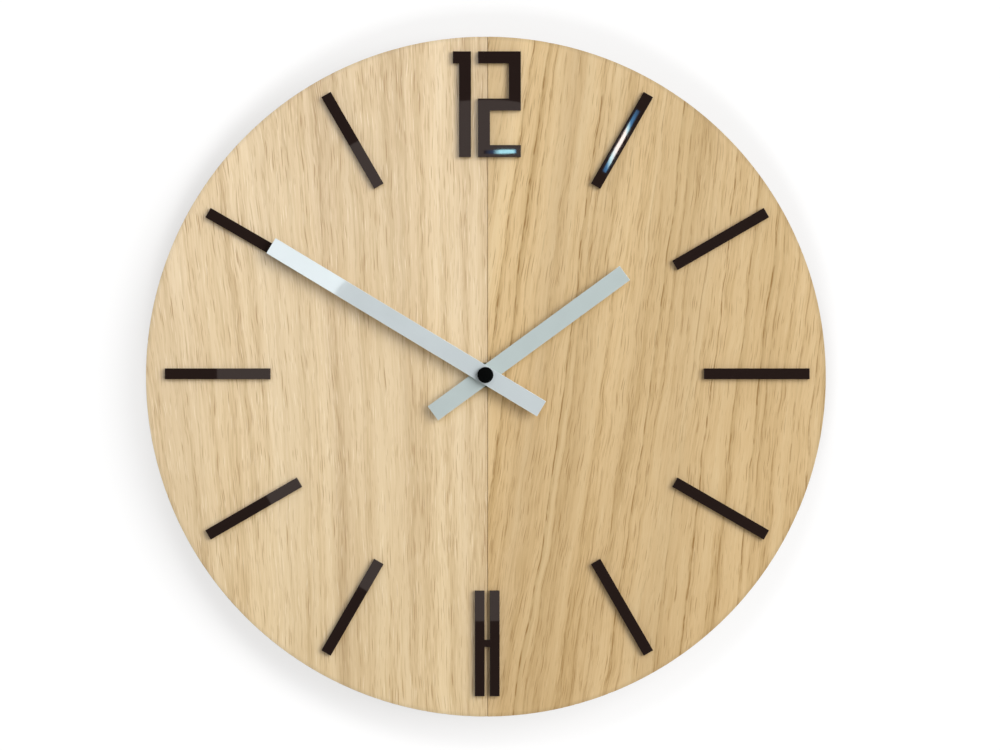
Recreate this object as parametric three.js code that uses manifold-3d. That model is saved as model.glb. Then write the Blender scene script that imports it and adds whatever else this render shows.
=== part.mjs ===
// A round wooden wall clock: a veneered dial, glued acrylic hour marks, two bar hands and the
// battery movement behind them. Millimetres, +X right, +Z up, +Y towards the wall.
// The origin lies on the wall, on the axis of the hands. A "distance" is measured from the wall
// towards the room, so a distance d lies at y = -d.
import * as THREE from "three";
import { mergeVertices } from "three/addons/utils/BufferGeometryUtils.js";
import Module from "manifold-3d";

const wasm = await Module();
wasm.setup();

const fullTurn = 2 * Math.PI;
const quarterTurn = fullTurn / 4;
const degree = fullTurn / 360;

// Fits
const runningClearance = 0.2; // between a shaft and the bore that it turns in, on the radius
const pressGap = 0.1; // between a pressed collet and its shaft, on the radius
const seatGap = 0.1; // between two pieces that are clamped or set against each other
const glueFilm = 0.1; // the glue under a veneer leaf or an hour mark
const axialPlay = 0.25; // end play of a turning piece
const overrun = 1; // how far a cut runs past what it cuts

// Facets of round pieces
const discSides = 128;
const roundSides = 16;
const visibleSides = 32;
const pivotSides = 8;
const cornerSteps = 4;

// Wooden dial
const dialRadius = 170;
const coreThickness = 6;
const veneerThickness = 0.6;
const seamWidth = 0.3;
const dialOffsetX = 0.2; // the middle of the disc, from the axis of the hands
const dialOffsetZ = -0.8;
const seamOffset = 1.1; // the seam between the leaves, right of the axis of the hands

// Hour marks
const markThickness = 3;
const ringOffsetX = 0.9; // the middle of the ring of marks, from the axis of the hands
const ringOffsetZ = 0.6;
const rimMargin = 9; // between a bar's outer end and the rim
const barLength = 52.8;
const barWidth = 5.4;
const hoursPerTurn = 12;
const sixBarWidth = 4.9;
const sixBarGap = 2.6;
const sixBridgeHeight = 3.6;
const numeralStroke = 6;
const oneLeft = -17.2;
const oneWidth = 9.1;
const twoLeft = -4.6;
const twoWidth = 21.4;
const twoMiddleShare = 0.497; // the middle stroke's centre, as a share of the numeral's height

// Hands
const handWidth = 8.75;
const handThickness = 1.2;
const hourHandReach = 86.1;
const hourHandTail = 32.4;
const hourHandAngle = 53.8 * degree;
const minuteHandReach = 124.7;
const minuteHandTail = 32.6;
const minuteHandAngle = 301.1 * degree;
const colletWall = 0.65;
const flangeLip = 1;
const flangeThickness = 0.5;
const handGap = 0.5; // between a hand's collet and what is behind it
const capRadius = 4;
const capThickness = 3.2;
const capDome = 0.6;
const domeSteps = 5;

// Shafts of the hands
const arborRadius = 1.65;
const arborRearRadius = 1.2;
const arborTipRadius = 1.35;
const arborTipLength = 3.6;
const pipeWall = 0.7;
const bushWall = 1.25;

// What clamps the movement to the dial
const bushHoleClearance = 0.25;
const bushFlangeLip = 2;
const bushFlangeThickness = 1;
const bushProud = 0.6; // how far the bush stands out of its nut
const nutAcrossFlats = 10.4;
const nutSides = 6;
const nutThickness = 2.2;
const washerRadius = 6.2;
const washerThickness = 0.6;
const gasketRadius = 11;
const gasketThickness = 1;

// Hanger
const hangerWidth = 26;
const hangerThickness = 0.8;
const hangerBelow = 9; // how far it reaches below the bush
const hangerClear = 3; // between the movement's case and the hanger's shelf
const hangerStandoff = 1.2; // from the wall to the hanger's tab
const tabHeight = 18;
const windowWidth = 11;
const windowHeight = 6;
const notchWidth = 5;
const notchHeight = 4.5;

// Movement case
const caseWall = 1.4;
const caseCorner = 2;
const bayWall = 1.2;
const coverThickness = 1.4;
const postRadius = 1.6;
const postInset = 4; // from the case's inner wall to a post's axis

// Battery
const cellRadius = 7.1;
const cellLength = 49.2;
const nubRadius = 2.7;
const nubLength = 1.2;
const cellGroove = 0.4;
const contactThickness = 0.4;
const contactWidth = 9;
const contactGap = 0.3; // between the battery and each contact
const leafBow = 1; // how far the negative contact's leaf bows towards the battery
const contactTab = 5; // how far a contact reaches into the room of the works
const contactTabWidth = 3;

// Wheels
const wheelThickness = 0.7;
const layerGap = 0.6;
const faceOverlap = 0.2; // how far a pinion runs past each face of the wheel that it drives
const spindleRadius = 0.6;
const pivotRadius = 0.35;
const pivotLength = 1.1;
const bossHeight = 0.5;
const bossRadius = 1.3;
const bridgeThickness = 1.2;
const bridgeGap = 1;
const bridgeClearance = 0.3; // between the bridge plate and the case
const clutchRoom = 1.2;
const motionRoom = 1.425; // between the bridge plate and the intermediate wheel, without the play
const clutchThickness = 0.4;
const clutchRadius = 4;
const clutchArms = 3;
const clutchArmWidth = 1.4;
const hubRadius = 2.4;
const hourWheelThickness = 1;
const addendumShare = 0.75; // of the module
const dedendumShare = 1.15;
const rootShare = 0.23; // half a tooth's width at its root, of the angle between two teeth
const tipShare = 0.09;
const pinionRootShare = 0.2;
const pinionTipShare = 0.1;
const mostPinionTeeth = 12;

// Motion work: the cannon pinion drives the intermediate wheel, whose pinion drives the hour wheel
const cannonTeeth = 12;
const intermediateTeeth = 36;
const intermediatePinionTeeth = 10;
const hourTeeth = 40;
const motionDistance = 9.6;
const intermediateDirection = 0;
const settingTeeth = 12;
const settingDirection = 0;

// Time train: the rotor drives the fifth, seconds, third and centre wheels in turn
const pinionTeeth = 8;
const centreTeeth = 64;
const thirdTeeth = 60;
const secondsTeeth = 40;
const fifthTeeth = 48;
const thirdDistance = 10.8;
const thirdDirection = 300 * degree;
const fifthDistance = 11;
const fifthDirection = 50 * degree;
const rotorDistance = 7;
const rotorDirection = 115 * degree;

// Setting knob
const knobRadius = 5.5;
const knobThickness = 1.8;
const knobRecess = 0.4; // from the wall plane to the knob's face
const knobRibs = 24;
const knobRibDepth = 0.4;
const settingShaftRadius = 1.2;
const wellWall = 0.9;
const wellFloor = 0.8;
const wellClearance = 0.5;

// Motor
const magnetRadius = 3;
const magnetThickness = 1.9;
const magnetHubRadius = 1.2;
const airGap = 0.5;
const statorThickness = 1;
const statorWall = 1.5;
const statorArmWidth = 4;
const statorSpan = 26; // over the two arms
const coilInset = 3.4; // from the case's inner wall to the coil's axis
const coreWidth = 2;
const coreBarThickness = 1;
const bobbinWall = 0.35;
const bobbinClearance = 0.2;
const bobbinFlange = 0.8;
const bobbinRadius = 2.8;
const windingRadius = 2.55;
const windingGap = 0.1;

// Circuit board
const boardWidth = 16;
const boardHeight = 8.5;
const boardThickness = 0.8;
const boardInset = 1.5;
const chipRadius = 2.2;
const chipHeight = 0.9;
const chipTaperShare = 0.7;
const crystalRadius = 0.8;
const crystalLength = 6;

// Finishes
const finish = (color, roughness, metalness) =>
  new THREE.MeshStandardMaterial({ color, roughness, metalness, flatShading: true });
const oakLight = finish(0xe2cca4, 0.55, 0);
const oakDark = finish(0xd8bd90, 0.55, 0);
const fibreboard = finish(0xb59268, 0.8, 0);
const blackAcrylic = finish(0x1c1616, 0.12, 0);
const greyHand = finish(0xc4cdd2, 0.3, 0.5);
const blackCap = finish(0x0a0a0a, 0.35, 0);
const brass = finish(0xc9a24b, 0.3, 1);
const steel = finish(0xb8bcc0, 0.35, 1);
const blackRubber = finish(0x202020, 0.9, 0);
const blackPlastic = finish(0x26272a, 0.5, 0);
const whitePlastic = finish(0xe6e3da, 0.45, 0);
const copper = finish(0xb5673a, 0.35, 1);
const boardGreen = finish(0x2f6b3a, 0.5, 0);
const magnetGrey = finish(0x45464a, 0.5, 0.6);
const cellSleeve = finish(0x3a6ea0, 0.35, 0.2);

// Solids
function solidOf(geometry) {
  geometry.deleteAttribute("normal");
  geometry.deleteAttribute("uv");
  const merged = mergeVertices(geometry);
  return new wasm.Manifold(
    new wasm.Mesh({
      numProp: 3,
      vertProperties: merged.attributes.position.array,
      triVerts: new Uint32Array(merged.index.array),
    }),
  );
}

function geometryOf(solid) {
  const mesh = solid.getMesh();
  const geometry = new THREE.BufferGeometry();
  geometry.setAttribute("position", new THREE.BufferAttribute(mesh.vertProperties, 3));
  geometry.setIndex(new THREE.BufferAttribute(mesh.triVerts, 1));
  geometry.computeVertexNormals();
  return geometry;
}

const join = (first, ...others) => others.reduce((whole, other) => whole.add(other), first);
const cut = (whole, ...tools) => tools.reduce((left, tool) => left.subtract(tool), whole);

function piece(name, solid, material, [x, z] = [0, 0]) {
  const mesh = new THREE.Mesh(geometryOf(solid), material);
  mesh.name = name;
  mesh.position.set(x, 0, z);
  return mesh;
}

// Places in the plane of the dial: a clock angle runs clockwise from twelve
function onClock(angle, distance, [x, z] = [0, 0]) {
  return [x + distance * Math.sin(angle), z + distance * Math.cos(angle)];
}

function circle(radius, sides = roundSides, [x, z] = [0, 0]) {
  return Array.from({ length: sides }, (_, side) => {
    const angle = (side / sides) * fullTurn;
    return [x + radius * Math.cos(angle), z + radius * Math.sin(angle)];
  });
}

const rectangle = (left, right, bottom, top) => [
  [left, bottom],
  [right, bottom],
  [right, top],
  [left, top],
];

function roundedRectangle(left, right, bottom, top, corner) {
  const centres = [
    [right - corner, top - corner],
    [left + corner, top - corner],
    [left + corner, bottom + corner],
    [right - corner, bottom + corner],
  ];
  return centres.flatMap(([x, z], index) =>
    Array.from({ length: cornerSteps + 1 }, (_, step) => {
      const angle = (index + step / cornerSteps) * quarterTurn;
      return [x + corner * Math.cos(angle), z + corner * Math.sin(angle)];
    }),
  );
}

// A flat piece with the given outline in X and Z, from the distance near the wall to the far one
function slab(outline, near, far) {
  const shape = new THREE.Shape(outline.map(([x, z]) => new THREE.Vector2(x, z)));
  const geometry = new THREE.ExtrudeGeometry(shape, { depth: far - near, bevelEnabled: false });
  geometry.rotateX(quarterTurn);
  geometry.translate(0, -near, 0);
  return solidOf(geometry);
}

const disc = (radius, near, far, centre, sides) => slab(circle(radius, sides, centre), near, far);

// A turned piece on its own axis: [radius, far distance] of each step, from the room to the wall,
// and the distance where the last step ends
function turned(steps, end, sides = roundSides) {
  const profile = [new THREE.Vector2(0, -steps[0][1])];
  steps.forEach(([radius, far], index) => {
    const near = index + 1 < steps.length ? steps[index + 1][1] : end;
    profile.push(new THREE.Vector2(radius, -far));
    profile.push(new THREE.Vector2(radius, -near));
  });
  profile.push(new THREE.Vector2(0, -end));
  return solidOf(new THREE.LatheGeometry(profile, sides));
}

function toothedOutline(teeth, module, turn = 0) {
  const pitchRadius = (teeth * module) / 2;
  const root = pitchRadius - dedendumShare * module;
  const tip = pitchRadius + addendumShare * module;
  const small = teeth <= mostPinionTeeth;
  const pitchAngle = fullTurn / teeth;
  const rootHalf = (small ? pinionRootShare : rootShare) * pitchAngle;
  const tipHalf = (small ? pinionTipShare : tipShare) * pitchAngle;
  return Array.from({ length: teeth }, (_, tooth) => {
    const middle = turn + tooth * pitchAngle;
    return [
      onClock(middle - rootHalf, root),
      onClock(middle - tipHalf, tip),
      onClock(middle + tipHalf, tip),
      onClock(middle + rootHalf, root),
    ];
  }).flat();
}

const moduleFor = (distance, teeth, otherTeeth) => (2 * distance) / (teeth + otherTeeth);

// The turn of a wheel in mesh with another one, which lies in the given direction from it
function meshedTurn(turn, teeth, otherTeeth, direction) {
  return direction + fullTurn / 2 + ((direction - turn) * teeth - fullTurn / 2) / otherTeeth;
}

// Layers of the works, from the wall to the room
const layer = (near, thickness) => ({ near, far: near + thickness });
const bossFace = coverThickness + bossHeight;
const trainRear = bossFace + axialPlay;
const fifthPlate = layer(trainRear + faceOverlap + axialPlay / 2, wheelThickness);
const secondsPlate = layer(fifthPlate.far + layerGap, wheelThickness);
const thirdPlate = layer(secondsPlate.far + layerGap, wheelThickness);
const centrePlate = layer(thirdPlate.far + clutchRoom, wheelThickness);
const bridge = layer(centrePlate.far + bridgeGap, bridgeThickness);
const trainFront = bridge.near - axialPlay;
const motionRear = bridge.far + axialPlay;
const intermediatePlate = layer(motionRear + motionRoom, wheelThickness);
const hourPlate = layer(intermediatePlate.far + layerGap, hourWheelThickness);
const bushFlange = layer(hourPlate.far + axialPlay, bushFlangeThickness);
const wallInner = bushFlange.far + seatGap;
const caseDepth = wallInner + caseWall;
const arborRear = thirdPlate.far + faceOverlap + axialPlay;

// Layers in front of the works
const hangerPlate = layer(caseDepth + seatGap, hangerThickness);
const gasketLayer = layer(hangerPlate.far + seatGap, gasketThickness);
const coreLayer = layer(gasketLayer.far + seatGap, coreThickness);
const veneerLayer = layer(coreLayer.far + glueFilm, veneerThickness);
const markLayer = layer(veneerLayer.far + glueFilm, markThickness);
const washerLayer = layer(veneerLayer.far + seatGap, washerThickness);
const nutLayer = layer(washerLayer.far + seatGap, nutThickness);
const bushFront = nutLayer.far + bushProud;
const hourFlange = layer(bushFront + handGap, flangeThickness);
const hourHandLayer = layer(hourFlange.far + seatGap, handThickness);
const pipeFront = hourHandLayer.far + handGap;
const minuteFlange = layer(pipeFront + handGap, flangeThickness);
const minuteHandLayer = layer(minuteFlange.far + seatGap, handThickness);
const capLayer = layer(minuteHandLayer.far + seatGap, capThickness);
const arborTipRear = minuteFlange.near - seatGap;
const arborTipFront = arborTipRear + arborTipLength;

// Radii of the nested shafts
const pipeBore = arborRadius + runningClearance;
const pipeRadius = pipeBore + pipeWall;
const bushBore = pipeRadius + runningClearance;
const bushRadius = bushBore + bushWall;
const dialHoleRadius = bushRadius + bushHoleClearance;
const spindleBore = pivotRadius + runningClearance;

// Axes of the works
const intermediateAxis = onClock(intermediateDirection, motionDistance);
const settingAxis = onClock(settingDirection, motionDistance, intermediateAxis);
const thirdAxis = onClock(thirdDirection, thirdDistance);
const fifthAxis = onClock(fifthDirection, fifthDistance);
const rotorAxis = onClock(rotorDirection, rotorDistance, fifthAxis);

// Wooden dial
function dialDisc(near, far) {
  const disk = slab(circle(dialRadius, discSides, [dialOffsetX, dialOffsetZ]), near, far);
  return cut(disk, disc(dialHoleRadius, near - overrun, far + overrun));
}

function veneerLeaf(side) {
  const edge = seamOffset + (side * seamWidth) / 2;
  const outer = dialRadius + overrun;
  const beyond = dialOffsetX - side * outer;
  const otherHalf = rectangle(
    Math.min(edge, beyond),
    Math.max(edge, beyond),
    dialOffsetZ - outer,
    dialOffsetZ + outer,
  );
  const leaf = dialDisc(veneerLayer.near, veneerLayer.far);
  return cut(leaf, slab(otherHalf, veneerLayer.near - overrun, veneerLayer.far + overrun));
}

function dial() {
  const group = new THREE.Group();
  group.add(piece("dial_core", dialDisc(coreLayer.near, coreLayer.far), fibreboard));
  group.add(piece("veneer_left", veneerLeaf(-1), oakLight));
  group.add(piece("veneer_right", veneerLeaf(1), oakDark));
  return group;
}

// Hour marks, in a ring of their own
const ringOuter = dialRadius - rimMargin;
const ringInner = ringOuter - barLength;
const ringRadius = (ringInner + ringOuter) / 2;
const mark = (outline) => slab(outline, markLayer.near, markLayer.far);

function hourBar(hour) {
  const bar = mark(rectangle(-barWidth / 2, barWidth / 2, ringInner, ringOuter));
  const mesh = piece("hour_bar_" + hour, bar, blackAcrylic);
  mesh.rotation.y = (hour / hoursPerTurn) * fullTurn;
  return mesh;
}

function numeralOne() {
  const right = oneLeft + oneWidth;
  return mark([
    [right - numeralStroke, ringInner],
    [right, ringInner],
    [right, ringOuter],
    [oneLeft, ringOuter],
    [oneLeft, ringOuter - numeralStroke],
    [right - numeralStroke, ringOuter - numeralStroke],
  ]);
}

function numeralTwo() {
  const right = twoLeft + twoWidth;
  const middle = ringInner + twoMiddleShare * barLength;
  const middleTop = middle + numeralStroke / 2;
  const middleBottom = middle - numeralStroke / 2;
  return mark([
    [twoLeft, ringInner],
    [right, ringInner],
    [right, ringInner + numeralStroke],
    [twoLeft + numeralStroke, ringInner + numeralStroke],
    [twoLeft + numeralStroke, middleBottom],
    [right, middleBottom],
    [right, ringOuter],
    [twoLeft, ringOuter],
    [twoLeft, ringOuter - numeralStroke],
    [right - numeralStroke, ringOuter - numeralStroke],
    [right - numeralStroke, middleTop],
    [twoLeft, middleTop],
  ]);
}

// Two upright bars with a short bridge between them stand for six o'clock
function sixMark() {
  const innerSide = sixBarGap / 2;
  const outerSide = innerSide + sixBarWidth;
  const bridgeTop = sixBridgeHeight / 2 - ringRadius;
  const bridgeBottom = -sixBridgeHeight / 2 - ringRadius;
  return join(
    mark(rectangle(-outerSide, -innerSide, -ringOuter, -ringInner)),
    mark(rectangle(innerSide, outerSide, -ringOuter, -ringInner)),
    mark(rectangle(-innerSide, innerSide, bridgeBottom, bridgeTop)),
  );
}

function hourMarks() {
  const group = new THREE.Group();
  group.position.set(ringOffsetX, 0, ringOffsetZ);
  for (let hour = 1; hour < hoursPerTurn; hour += 1) {
    if (hour !== hoursPerTurn / 2) {
      group.add(hourBar(hour));
    }
  }
  group.add(piece("numeral_1", numeralOne(), blackAcrylic));
  group.add(piece("numeral_2", numeralTwo(), blackAcrylic));
  group.add(piece("six_mark", sixMark(), blackAcrylic));
  return group;
}

// Hands, their collets and the cap nut
function handBar(reach, tail, hole, { near, far }) {
  const bar = slab(rectangle(-handWidth / 2, handWidth / 2, -tail, reach), near, far);
  return cut(bar, disc(hole, near - overrun, far + overrun, [0, 0], visibleSides));
}

function collet(shaftRadius, flange, front) {
  const bore = shaftRadius + pressGap;
  const sleeve = bore + colletWall;
  const body = turned(
    [
      [sleeve, front],
      [sleeve + flangeLip, flange.far],
    ],
    flange.near,
  );
  return cut(body, disc(bore, flange.near - overrun, front + overrun));
}

// A closed nut with a low dome
function capNut() {
  const profile = [];
  for (let step = 0; step <= domeSteps; step += 1) {
    const angle = (step / domeSteps) * quarterTurn;
    const rise = capDome * Math.cos(angle);
    profile.push(new THREE.Vector2(capRadius * Math.sin(angle), capDome - rise - capLayer.far));
  }
  profile.push(new THREE.Vector2(capRadius, -capLayer.near));
  profile.push(new THREE.Vector2(0, -capLayer.near));
  const body = solidOf(new THREE.LatheGeometry(profile, visibleSides));
  const bore = disc(arborTipRadius + pressGap, capLayer.near - overrun, arborTipFront + pressGap);
  return cut(body, bore);
}

function hands() {
  const group = new THREE.Group();
  const hourHole = pipeRadius + 2 * pressGap + colletWall;
  const minuteHole = arborTipRadius + 2 * pressGap + colletWall;
  const hourHand = piece(
    "hour_hand",
    handBar(hourHandReach, hourHandTail, hourHole, hourHandLayer),
    greyHand,
  );
  hourHand.rotation.y = hourHandAngle;
  const minuteHand = piece(
    "minute_hand",
    handBar(minuteHandReach, minuteHandTail, minuteHole, minuteHandLayer),
    greyHand,
  );
  minuteHand.rotation.y = minuteHandAngle;
  group.add(hourHand, minuteHand);
  group.add(piece("hour_hand_collet", collet(pipeRadius, hourFlange, hourHandLayer.far), brass));
  const minuteCollet = collet(arborTipRadius, minuteFlange, minuteHandLayer.far);
  group.add(piece("minute_hand_collet", minuteCollet, brass));
  group.add(piece("cap_nut", capNut(), blackCap));
  return group;
}

// What clamps the movement to the dial
function threadedBush() {
  const body = turned(
    [
      [bushRadius, bushFront],
      [bushRadius + bushFlangeLip, bushFlange.far],
    ],
    bushFlange.near,
  );
  return cut(body, disc(bushBore, bushFlange.near - overrun, bushFront + overrun));
}

function clampRing(outline, { near, far }) {
  return cut(slab(outline, near, far), disc(bushRadius + pressGap, near - overrun, far + overrun));
}

function clampingPieces() {
  const group = new THREE.Group();
  const nutRadius = nutAcrossFlats / 2 / Math.cos(fullTurn / nutSides / 2);
  group.add(piece("threaded_bush", threadedBush(), brass));
  group.add(piece("fixing_washer", clampRing(circle(washerRadius, visibleSides), washerLayer), brass));
  group.add(piece("fixing_nut", clampRing(circle(nutRadius, nutSides), nutLayer), brass));
  group.add(piece("rubber_gasket", clampRing(circle(gasketRadius), gasketLayer), blackRubber));
  group.add(piece("hanger", hanger(), steel));
  return group;
}

// Sheet steel that lies between the case and the gasket and steps back over the case to the wall
function hanger() {
  const half = hangerWidth / 2;
  const shelfBottom = caseHalf + hangerClear;
  const shelfTop = shelfBottom + hangerThickness;
  const tab = layer(hangerStandoff, hangerThickness);
  const tabTop = shelfBottom + tabHeight;
  const windowBottom = shelfTop + hangerClear;
  const windowTop = windowBottom + windowHeight;
  const near = tab.near - overrun;
  const far = tab.far + overrun;
  const window = slab(rectangle(-windowWidth / 2, windowWidth / 2, windowBottom, windowTop), near, far);
  const notchTop = windowTop + notchHeight;
  const notch = slab(rectangle(-notchWidth / 2, notchWidth / 2, windowBottom, notchTop), near, far);
  const bush = disc(bushRadius + pressGap, hangerPlate.near - overrun, hangerPlate.far + overrun);
  return cut(
    join(
      slab(rectangle(-half, half, -hangerBelow, shelfTop), hangerPlate.near, hangerPlate.far),
      slab(rectangle(-half, half, shelfBottom, shelfTop), tab.near, hangerPlate.far),
      slab(rectangle(-half, half, shelfBottom, tabTop), tab.near, tab.far),
    ),
    window,
    notch,
    bush,
  );
}

// Movement case: the battery bay lies below the room of the works
const bayLength = cellLength + nubLength + leafBow + 2 * (contactGap + contactThickness);
const innerHalf = bayLength / 2 + runningClearance;
const caseHalf = innerHalf + caseWall;
const bayTop = -innerHalf + 2 * (cellRadius + runningClearance);
const worksBottom = bayTop + bayWall;
const posts = [
  [-innerHalf + postInset, innerHalf - postInset],
  [innerHalf - postInset, innerHalf - postInset],
  [-innerHalf + postInset, worksBottom + postInset],
  [innerHalf - postInset, worksBottom + postInset],
];
const cellFront = wallInner - runningClearance;
const cellMiddle = cellFront - cellRadius;
const frontBossHeight = wallInner - (hourPlate.far + axialPlay + faceOverlap);

function frontCase() {
  const open = -overrun;
  const box = slab(
    roundedRectangle(-caseHalf, caseHalf, -caseHalf, caseHalf, caseCorner),
    0,
    caseDepth,
  );
  const works = slab(rectangle(-innerHalf, innerHalf, worksBottom, innerHalf), open, wallInner);
  const bay = slab(rectangle(-innerHalf, innerHalf, -innerHalf, bayTop), open, wallInner);
  const coverSeat = slab(
    rectangle(-caseHalf - overrun, caseHalf + overrun, coverBottom - seatGap, caseHalf + overrun),
    open,
    coverThickness + seatGap,
  );
  const slot = (side) => {
    const edge = side * innerHalf;
    const inner = edge - side * contactSlotDepth;
    const outline = rectangle(
      Math.min(edge, inner),
      Math.max(edge, inner),
      bayTop - overrun,
      worksBottom + overrun,
    );
    return slab(outline, contactTabLayer.near - runningClearance, contactTabLayer.far);
  };
  const shell = cut(box, works, bay, coverSeat, slot(-1), slot(1));
  const postSolids = posts.map((centre) =>
    disc(postRadius, bridge.far + seatGap, wallInner + caseWall / 2, centre),
  );
  const bosses = [intermediateAxis, settingAxis].map((centre) =>
    disc(bossRadius, wallInner - frontBossHeight, wallInner + caseWall / 2, centre),
  );
  const pivotHoles = [intermediateAxis, settingAxis].map((centre) =>
    disc(spindleBore, wallInner - frontBossHeight - overrun, wallInner + caseWall / 2, centre),
  );
  const bushHole = disc(bushRadius + pressGap, wallInner - overrun, caseDepth + overrun);
  return cut(join(shell, ...postSolids, ...bosses), bushHole, ...pivotHoles);
}

// Rear cover, with the well that the setting knob turns in and a boss for each rear pivot
const coverBottom = bayTop + bayWall / 2;
const wellRadius = knobRadius + wellClearance;
const wellInner = knobRecess + knobThickness + wellClearance;

function rearCover() {
  const plate = slab(
    roundedRectangle(-caseHalf, caseHalf, coverBottom, caseHalf, caseCorner),
    0,
    coverThickness,
  );
  const rearAxes = [[0, 0], thirdAxis, fifthAxis, rotorAxis];
  const bosses = rearAxes.map((centre) =>
    disc(bossRadius, coverThickness / 2, bossFace, centre),
  );
  const pivotHoles = rearAxes.map((centre) =>
    disc(spindleBore, trainRear - pivotLength - axialPlay, bossFace + overrun, centre),
  );
  const cup = disc(wellRadius + wellWall, coverThickness / 2, wellInner + wellFloor, settingAxis);
  const well = disc(wellRadius, -overrun, wellInner, settingAxis);
  const shaftHole = disc(
    settingShaftRadius + runningClearance,
    -overrun,
    wellInner + wellFloor + overrun,
    settingAxis,
  );
  return cut(join(plate, cup, ...bosses), well, shaftHole, ...pivotHoles);
}

// Bridge plate: it carries the train behind it and the motion work in front of it
function bridgePlate() {
  const edge = innerHalf - bridgeClearance;
  const plate = slab(
    rectangle(-edge, edge, worksBottom + bridgeClearance, edge),
    bridge.near,
    bridge.far,
  );
  const through = (radius, centre) =>
    disc(radius, bridge.near - overrun, bridge.far + overrun, centre);
  const statorPosts = statorArmHeights.map((height) =>
    disc(bossRadius, statorPlate.far + seatGap, bridge.far - bridgeThickness / 2, [armPostX, height]),
  );
  return cut(
    join(plate, ...statorPosts),
    through(arborRadius + runningClearance, [0, 0]),
    through(settingShaftRadius + runningClearance, settingAxis),
    through(spindleBore, intermediateAxis),
    through(spindleBore, thirdAxis),
    through(spindleBore, fifthAxis),
    through(spindleBore, rotorAxis),
  );
}

function movementCase() {
  const group = new THREE.Group();
  group.add(piece("front_case", frontCase(), blackPlastic));
  group.add(piece("rear_cover", rearCover(), blackPlastic));
  group.add(piece("bridge_plate", bridgePlate(), whitePlastic));
  return group;
}

// Modules and turns of the wheels in mesh
const motionModule = moduleFor(motionDistance, cannonTeeth, intermediateTeeth);
const hourModule = moduleFor(motionDistance, intermediatePinionTeeth, hourTeeth);
const centreModule = moduleFor(thirdDistance, centreTeeth, pinionTeeth);
const thirdModule = moduleFor(thirdDistance, thirdTeeth, pinionTeeth);
const secondsModule = moduleFor(fifthDistance, secondsTeeth, pinionTeeth);
const fifthModule = moduleFor(rotorDistance, fifthTeeth, pinionTeeth);
const halfTurn = fullTurn / 2;
const intermediateTurn = meshedTurn(0, cannonTeeth, intermediateTeeth, intermediateDirection);
const settingTurn = meshedTurn(intermediateTurn, intermediateTeeth, settingTeeth, settingDirection);
const towardsCentre = intermediateDirection + halfTurn;
const hourTurn = meshedTurn(intermediateTurn, intermediatePinionTeeth, hourTeeth, towardsCentre);
const thirdTurn = meshedTurn(0, pinionTeeth, thirdTeeth, thirdDirection);
const centreTurn = meshedTurn(thirdTurn, pinionTeeth, centreTeeth, thirdDirection + halfTurn);
const fifthTurn = meshedTurn(0, secondsTeeth, pinionTeeth, fifthDirection);
const rotorTurn = meshedTurn(fifthTurn, fifthTeeth, pinionTeeth, rotorDirection);

// A pinion as long as the wheel that it meshes with, and a little more at each face
function pinion(teeth, module, turn, partner) {
  return slab(
    toothedOutline(teeth, module, turn),
    partner.near - faceOverlap,
    partner.far + faceOverlap,
  );
}

const wheel = (teeth, module, turn, plate) =>
  slab(toothedOutline(teeth, module, turn), plate.near, plate.far);

const throughBore = (radius, { near, far }) => disc(radius, near - overrun, far + overrun);

// A wheel's spindle in the time train, with a pivot at each end
function trainSpindle(rear = trainRear, front = trainFront, radius = spindleRadius) {
  return turned(
    [
      [pivotRadius, front + pivotLength],
      [radius, front],
      [pivotRadius, rear],
    ],
    rear - pivotLength,
    pivotSides,
  );
}

function minuteArbor() {
  const shaft = turned(
    [
      [arborTipRadius, arborTipFront],
      [arborRadius, arborTipRear],
      [arborRearRadius, centrePlate.far + axialPlay],
    ],
    arborRear,
  );
  const cannon = slab(
    toothedOutline(cannonTeeth, motionModule),
    motionRear,
    intermediatePlate.far + faceOverlap,
  );
  const pivotHole = disc(spindleBore, arborRear - overrun, arborRear + pivotLength + axialPlay);
  return cut(join(shaft, cannon), pivotHole);
}

function hourWheel() {
  const pipe = disc(pipeRadius, hourPlate.near, pipeFront);
  const plate = wheel(hourTeeth, hourModule, hourTurn, hourPlate);
  const bore = disc(pipeBore, hourPlate.near - overrun, pipeFront + overrun);
  return cut(join(pipe, plate), bore);
}

function intermediateWheel() {
  const front = wallInner - frontBossHeight - axialPlay;
  return join(
    wheel(intermediateTeeth, motionModule, intermediateTurn, intermediatePlate),
    slab(
      toothedOutline(intermediatePinionTeeth, hourModule, intermediateTurn),
      intermediatePlate.far - wheelThickness / 2,
      front,
    ),
    trainSpindle(motionRear, front),
  );
}

function settingPinion() {
  const front = wallInner - frontBossHeight - axialPlay;
  const gear = slab(
    toothedOutline(settingTeeth, motionModule, settingTurn),
    motionRear,
    intermediatePlate.far + faceOverlap,
  );
  const shaft = turned(
    [
      [pivotRadius, front + pivotLength],
      [spindleRadius, front],
      [settingShaftRadius, intermediatePlate.far],
    ],
    knobRecess + knobThickness / 2,
  );
  return join(shaft, gear);
}

function settingKnob() {
  const knob = layer(knobRecess, knobThickness);
  const ribs = Array.from({ length: knobRibs }, (_, rib) => {
    const middle = (rib / knobRibs) * fullTurn;
    const half = fullTurn / knobRibs / 4;
    return [
      onClock(middle - half, knobRadius),
      onClock(middle + half, knobRadius),
      onClock(middle + half, knobRadius - knobRibDepth),
      onClock(middle + half * 3, knobRadius - knobRibDepth),
    ];
  }).flat();
  const bore = disc(
    settingShaftRadius + pressGap,
    knob.near + knobThickness / 2 - pressGap,
    knob.far + overrun,
  );
  return cut(slab(ribs, knob.near, knob.far), bore);
}

function centreWheel() {
  const plate = wheel(centreTeeth, centreModule, centreTurn, centrePlate);
  return cut(plate, throughBore(arborRearRadius + runningClearance, centrePlate));
}

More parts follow.
